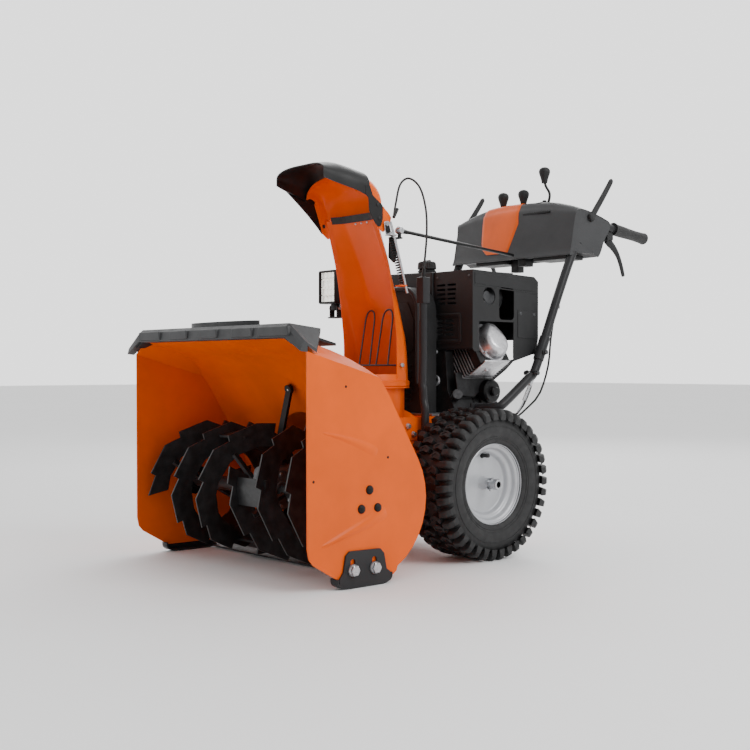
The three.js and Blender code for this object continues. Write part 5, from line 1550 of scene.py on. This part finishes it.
        shaft = bar((inner, y, z), (outer - side * 3, y, z), 10, 32)
        collar = ring(-61, [(10, 0), (18, 0), (18, 8), (10, 8)])
        washer = ring(42, [(10, 0), (15.4, 0), (16.2, 1.2), (16.2, 4.6), (15.4, 5.6), (10, 5.6)])
        cap = ring(
            56,
            [
                (6.5, 0), (13.4, 0), (14.4, 1.2), (14.4, 22), (13.2, 23.6), (9.2, 23.6), (8, 22), (8, 8),
                (6.5, 8)
            ]
        )
        pin = bar((middle[0] + side * 52, y - 4, z - 19), (middle[0] + side * 52, y + 4, z + 17), 3.2, 16)
        add_piece(
            "axle_shaft_" + name, gather(shaft, collar, washer, cap, pin), "zinc_plate", "wheel_" + name,
            ("axle_" + name,), angle=40
        )
        # painted shade: a black plug fills the end cap's bore, standing in for the shade inside it
        dark = bar((middle[0] + side * 64, y, z), (middle[0] + side * 77, y, z), 8.4, 32, 0.3)
        add_piece("axle_bore_" + name, dark, "smooth_black", "wheel_" + name, slot="black_plastic")


# ------------------------------------------------------------------ handles and controls
HANDLE_PATH = (
    (154, 112, 399), (178, 114, 400), (222, 126, 404), (230, 152, 420), (230, 240, 480), (230, 274, 507), (231, 326, 622), (233, 375, 732),
    (235, 426, 838), (238, 446, 872), (247, 484, 918), (256, 530, 936), (262, 577, 937), (262, 742, 918),
)


class SNOWBLOWER_OT_handles(bpy.types.Operator):
    """Handle tubes with their clamps, ribbed grips, clutch paddles and steering triggers"""

    bl_idname = "snowblower.handles"
    bl_label = "Handles"

    def execute(self, context):
        rings = context.scene.snowblower_sizes.grip_rings
        for name, side in SIDES:
            path = smooth(HANDLE_PATH, 8) * (side, 1, 1)
            foot = block((side * 150.4, 88, 330), (side * 157, 136, 414), 1, 4, "x")
            clamps = [bar((side * 211, y, z), (side * 249, y, z), 6) for y, z in ((260, 499), (296, 559))]
            sleeve_from, sleeve_to = np.array([side * 230.3, 287, 536]), np.array([side * 230.9, 318, 604])
            sleeve = bar(sleeve_from, sleeve_to, 15.4, 32, 1.5)
            add_piece(
                "handle_tube_" + name, gather(tube(path, 13, 28), foot, *clamps, sleeve), "tube_coat",
                replaces=("handle_" + name,), angle=40
            )
            bolts = [
                hex_bolt((side * 247, y, z), (side, 0, 0), 13, 6, 17) for y, z in ((260, 499), (296, 559))
            ]
            bolts += [
                hex_bolt((side * 213, y, z), (-side, 0, 0), 13, 6, 17) for y, z in ((260, 499), (296, 559))
            ]
            bolts.append(hex_bolt((side * 157, 112, 346), (side, 0, 0), 12, 5))
            add_piece("handle_bolts_" + name, gather(*bolts), "dark_steel", slot="dark_steel")
            self.grip(name, side, rings)
            self.paddle(name, side)
            self.trigger(name, side)
        return {"FINISHED"}

    def grip(self, name, side, rings):
        """A sleeve whose radius dips at each ring, with a flange at its front and a rounded end."""
        start, end = np.array([side * 262, 591, 935.5]), np.array([side * 262, 748, 917])
        length = np.linalg.norm(end - start)
        h = np.linspace(0, 1, rings * 8)
        dip = 0.55 * (0.5 + 0.5 * np.cos(2 * math.pi * rings * h)) ** 3 * ((h > 0.09) & (h < 0.93))
        r = 17.0 + 0.9 * np.cos(2 * math.pi * (h - 0.15)) - dip
        profile = [(13.4, 1), (20, 0.4), (20.6, 2), (20, 4.5), (17.6, 6)]
        profile += list(zip(r[4:-8], (h * length)[4:-8]))
        profile += [(17.4, length - 5), (18.3, length - 3), (17.6, length - 0.6), (15, length), (0, length)]
        inside = [(0, length - 4), (13.4, length - 4)]
        add_piece(
            "grip_sleeve_" + name, turned(profile + inside, start, end - start, 40, loop=True),
            "soft_rubber", replaces=("grip_" + name,), angle=50
        )

    def paddle(self, name, side):
        """A blade that tapers to a rounded tip, carried along a gently bent line from its pivot."""
        at = joint_place("paddle_%s_squeeze" % name)
        at[0] = side * 268
        path = smooth([(0, -6, -10), (0, 14, 16), (0, 50, 60), (0, 80, 98), (0, 99, 124)], 8) + at
        section = np.stack(
            [6.4 * np.sign(c) * abs(c) ** 0.6 for c, _ in circle_points(28)]
        ), np.stack([8.5 * np.sign(s) * abs(s) ** 0.6 for _, s in circle_points(28)])
        t = np.linspace(0, 1, len(path))
        scale = np.where(
            t < 0.9, 1.06 - 0.22 * t, 0.86 * np.sqrt(np.clip(1 - ((t - 0.9) / 0.1) ** 2, 0.02, 1))
        )
        scale = np.where(t < 0.06, 0.75, scale)
        blade = swept(path, np.stack(section, 1), start_up=(1, 0, 0), scale=scale)
        hub = bar(at - (7, 0, 0), at + (7, 0, 0), 11, 32, 1.5)
        add_piece(
            "paddle_blade_" + name, gather(blade, hub), "black_plastic", "paddle_" + name,
            ("clutch_paddle_" + name,), angle=50
        )

    def trigger(self, name, side):
        """A curved lever: an oval carried along its bend and drawn in towards its rounded end."""
        at = joint_place("trigger_%s_squeeze" % name)
        at[0] = side * 262
        path = smooth(
            [
                (0, -6, -6), (0, 12, -14), (0, 34, -30), (0, 52, -50), (0, 66, -76), (0, 76, -102),
                (0, 79, -111)
            ],
            7
        ) + at
        t = np.linspace(0, 1, len(path))
        scale = np.interp(t, [0, 0.15, 0.5, 0.9, 0.97, 1.0], [0.9, 1.15, 0.75, 0.62, 0.58, 0.3])
        section = circle_points(24) * (6.8, 11)
        lever = swept(path, section, start_up=(1, 0, 0), scale=scale)
        hub = bar(at - (6.5, 0, 0), at + (6.5, 0, 0), 12, 32, 1.2)
        pin = bar(at - (8.5, 0, 0), at + (8.5, 0, 0), 4)
        add_piece(
            "trigger_lever_" + name, gather(lever, hub, pin), "black_plastic", "trigger_" + name,
            ("trigger_" + name,), angle=50
        )
        clamp = block(at + (-9, -22, 8), at + (9, 14, 17), 1.2, 4)
        ears = [block(at + (a, -14, -6), at + (a + 2.4, 14, 16), 0.6, 4, "x") for a in (-11.4, 9)]
        add_piece("trigger_mount_" + name, gather(clamp, *ears), "black_plastic", slot="black_plastic")


LEVERS = (
    ("speed_lever", -86, 1053, False), ("deflector_lever", 0, 1053, False), ("chute_lever", 86, 1115, True)
)


class SNOWBLOWER_OT_console(bpy.types.Operator):
    """Console shell with its orange panel, the three levers and painted shade where their slots are"""

    bl_idname = "snowblower.console"
    bl_label = "Console"

    # Place across, then points from the lower front edge over the crown to the lower back edge.
    def section(self, x):
        """The console's section at a place across it: each key point is a smooth function of the distance
        from the middle, so that front, crown and back sweep back together towards the ends."""
        a = min(abs(x) / 245, 1.0)
        flare = 42 * max(0.0, a - 0.62) ** 1.6 / 0.38**1.6
        front = 400 + 12 * a**2
        crown = 1026 - 42 * a**3
        rear = 596 - 40 * a**3
        low = 848
        s = 1 if x >= 0 else -1
        keys = [
            (x, front + 30, low + 8), (x, front, low), (x, front + 6, low + 22), (
                x, 433 - 8 * (1 - a), 1008 - 30 * a**2 - 30
            ), (x + s * flare * 0.1, 440, 1008 - 30 * a**2),
            (x + s * flare * 0.3, 466, crown), (
                x + s * flare * 0.8, rear - 26, crown - 10 - 14 * a**3
            ), (x + s * flare * 0.86, rear, crown - 24 - 18 * a**3),
            (
                x + s * flare, rear - 36, crown - 90
            ), (x + s * flare * 0.5, 520, low), (x + s * flare * 0.5, 496, low + 8),
        ]
        return np.array(keys, float)

    def execute(self, context):
        xs = np.concatenate([[-245.0], np.linspace(-240, 240, 49), [245.0]])
        rings = [smooth(self.section(x), 5) for x in xs]
        shell = skin(rings)
        add_piece(
            "console_body", shell, "graphite_plastic", replaces=("console_shell",), angle=26, bevel=2.5
        )
        self.panel()
        self.fittings()
        for name, x, knob_z, tall in LEVERS:
            self.lever(name, x, knob_z, tall)
        return {"FINISHED"}

    def panel(self):
        """The orange panel: the console's own sections between two slanting edges, moved out a little."""
        count = 40
        low, high = 10, 28
        rows = [smooth(self.section(-125 + share * 150), 5) for share in np.linspace(0, 1, count)]
        grid = np.array(rows)[:, low:high]
        height = grid[..., 2]
        left = np.interp(height, [870, 880, 900, 940, 1000, 1030], [-92, -108, -118, -123, -129, -127])
        right = np.interp(height, [870, 961, 985, 1030], [0, 33, 27, 20])
        share = np.linspace(0, 1, count)[:, None]
        x = left + (right - left) * share
        outer = grid.copy()
        outer[..., 0] = x
        dy = np.gradient(grid[..., 1], axis=1)
        dz = np.gradient(grid[..., 2], axis=1)
        length = np.hypot(dy, dz)
        normal = np.stack([np.zeros_like(dy), -dz / length, dy / length], -1)
        edge = np.minimum(np.minimum(share, 1 - share) * count / 2, 1.0)
        face = outer + normal * (2.0 * np.minimum(edge, 1)[..., None] + 0.5)
        back = outer - normal * 3.0
        rings = np.concatenate([face, back[:, ::-1]], axis=1)
        add_piece(
            "console_badge_panel", skin(rings), "orange_plastic", replaces=("console_panel",), angle=40
        )

    def fittings(self):
        """Painted shade over the lever slots and the vent slot, as dark bands laid on the shell where the openings
        would be; lower lobes and the cable bracket underneath.
        """
        # painted shade: a dark band on the shell along each lever's slot
        slot_shade_bands = []
        for _, x, _, _ in LEVERS:
            path = [(x, y, self.height(x, y) + 0.3) for y in np.linspace(452, 524, 12)]
            section = rounded([(-7, -1.2), (7, -1.2), (7, 1.2), (-7, 1.2)], 1.0, 2)
            slot_shade_bands.append(swept(path, section, start_up=(1, 0, 0)))
        # painted shade: a dark block where the vent slot's opening would be
        slot_shade_bands.append(block((44, 428, 984), (150, 436, 990), 0.8, 2, "y"))
        add_piece("lever_slots", gather(*slot_shade_bands), "smooth_black", slot="black_plastic", angle=40)
        under = [
            block((-150, 420, 838), (-20, 500, 852), 2, 8), block((96, 414, 838), (226, 500, 852), 2, 8),
            block((40, 410, 826), (70, 450, 850), 1.5, 4), block((-16, 440, 812), (14, 470, 850), 1.5, 4),
            bar((-170, 455, 846), (200, 455, 846), 7),
        ]
        add_piece("console_underside", gather(*under), "black_plastic", slot="black_plastic", angle=40)

    def height(self, x, y):
        """Height of the console's top at a place."""
        line = smooth(self.section(x), 5)
        top = line[20:36]
        return float(np.interp(y, top[:, 1], top[:, 2]))

    def lever(self, name, x, knob_z, tall):
        """A round stem, bent on the tall one, and a pear-shaped knob turned about it."""
        at = joint_place(name + "_swing")
        at[0] = x
        low = knob_z - (30 if tall else 28)
        stem_line = [
            (0, 0, 0), (4, 0, 60), (18, 0, 90), (20, 0, 112), (6, 0, 134), (0, 0, low + 6 - at[2])
        ] if tall else [(0, 0, 0), (0, 0, 40), (0, 0, low + 6 - at[2])]
        stem = tube(smooth(stem_line, 8) + at, 4, 16)
        h = np.array([0, 0, 6, 18, 28, 36, 43, 48, 50.0]) + low
        r = np.array([0, 8.5, 9.6, 12.8, 16.2, 17.5, 15.2, 9, 0])
        line = smooth(np.stack([r[1:], h[1:]], 1), 5)
        line[:, 0] = np.maximum(line[:, 0], 0)
        knob = turned([(0, low), *line], (*at[:2], 0), (0, 0, 1), 40)
        pivot = bar(at - (12, 0, 0), at + (12, 0, 0), 9)
        boot = turned(
            [(0, 0), (9, 0), (8, 4), (5, 9), (0, 9)], (at[0], at[1], self.height(x, at[1]) - 1), (0, 0, 1),
            28
        )
        body = BODY_OF[name]
        add_piece(
            name + "_stem", gather(stem, pivot, boot), "smooth_black", body, slot="black_plastic", angle=50
        )
        add_piece(name + "_knob", knob, "black_plastic", body, (name,), angle=50)


# ------------------------------------------------------------------ cables
DEFLECTOR_CABLE = (
    (152, -95, 763), (153, -90, 810), (152, -82, 880), (146, -80, 950), (126, -84, 1010), (100, -100, 1036),
    (88, -122, 1018), (110, -158, 960), (130, -184, 918)
)


class SNOWBLOWER_OT_cables(bpy.types.Operator):
    """Control cables with their ferrules and the drive cable's spring"""

    bl_idname = "snowblower.cables"
    bl_label = "Cables"

    def execute(self, context):
        cable = add_piece(
            "deflector_cable_sheath", tube(smooth(DEFLECTOR_CABLE, 8), 3, 16), "soft_rubber", None,
            ("deflector_cable",), angle=60
        )
        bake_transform(cable, "frame", "chute", tuple(place((152, -95, 790))), tuple(place((130, -184, 925))))
        dress("control_cables", "soft_rubber", 0, angle=60)
        ends = (
            ("post", "frame", bar((152, -95, 758), (152.6, -92, 784), 5)),
            ("hood", "chute", bar((130, -184, 918), (126, -166, 944), 4.4))
        )
        for where, body, ferrule in ends:
            add_piece("cable_ferrule_" + where, ferrule, "smooth_black", body, slot="black_plastic")
        drive = smooth([(196, 236, 386), (200, 250, 404), (202, 258, 420)], 6)
        turns = 12
        start, end = np.array([202, 258, 420.0]), np.array([206, 278, 462.0])
        u, v, _ = basis(end - start)
        t = np.linspace(0, 1, turns * 16)[:, None]
        coil = start + (end - start) * t + 4.4 * (
            np.cos(2 * math.pi * turns * t) * u + np.sin(2 * math.pi * turns * t) * v
        )
        barrel = bar(end, end + (end - start) * 1.1, 6.5, 28, 1.2)
        wire = tube([end + (end - start) * 1.1, (208, 330, 580), (204, 380, 700), (200, 460, 846)], 1.2, 10)
        add_piece(
            "drive_cable", gather(tube(drive, 1.6, 10), tube(coil, 1.1, 8), barrel, wire), "zinc_plate",
            slot="zinc_steel", angle=60
        )
        return {"FINISHED"}


# ------------------------------------------------------------------ panel and registration
STEPS = (
    SNOWBLOWER_OT_stage, SNOWBLOWER_OT_housing, SNOWBLOWER_OT_cap, SNOWBLOWER_OT_augers, SNOWBLOWER_OT_chute, SNOWBLOWER_OT_deflector,
    SNOWBLOWER_OT_posts, SNOWBLOWER_OT_engine, SNOWBLOWER_OT_transmission, SNOWBLOWER_OT_wheels, SNOWBLOWER_OT_handles,
    SNOWBLOWER_OT_console, SNOWBLOWER_OT_cables,
)


class SNOWBLOWER_PT_build(bpy.types.Panel):
    """The steps in the order that they are run, and the settings that they read"""

    bl_label = "Two Stage Snowblower"
    bl_idname = "SNOWBLOWER_PT_build"
    bl_space_type = "VIEW_3D"
    bl_region_type = "UI"
    bl_category = "Snowblower"

    def draw(self, context):
        layout = self.layout
        for group in (context.scene.snowblower_sizes, context.scene.snowblower_colours):
            for setting in group.__annotations__:
                layout.prop(group, setting)
        for step in STEPS:
            layout.operator(step.bl_idname)


CLASSES = (SnowblowerSizes, SnowblowerColours, *STEPS, SNOWBLOWER_PT_build)


def register():
    for each in CLASSES:
        bpy.utils.register_class(each)
    bpy.types.Scene.snowblower_sizes = PointerProperty(type=SnowblowerSizes)
    bpy.types.Scene.snowblower_colours = PointerProperty(type=SnowblowerColours)


def unregister():
    del bpy.types.Scene.snowblower_colours
    del bpy.types.Scene.snowblower_sizes
    for each in reversed(CLASSES):
        bpy.utils.unregister_class(each)


def main():
    register()
    for step in STEPS:
        group, name = step.bl_idname.split(".")
        getattr(getattr(bpy.ops, group), name)()


if __name__ == "__main__":
    main()
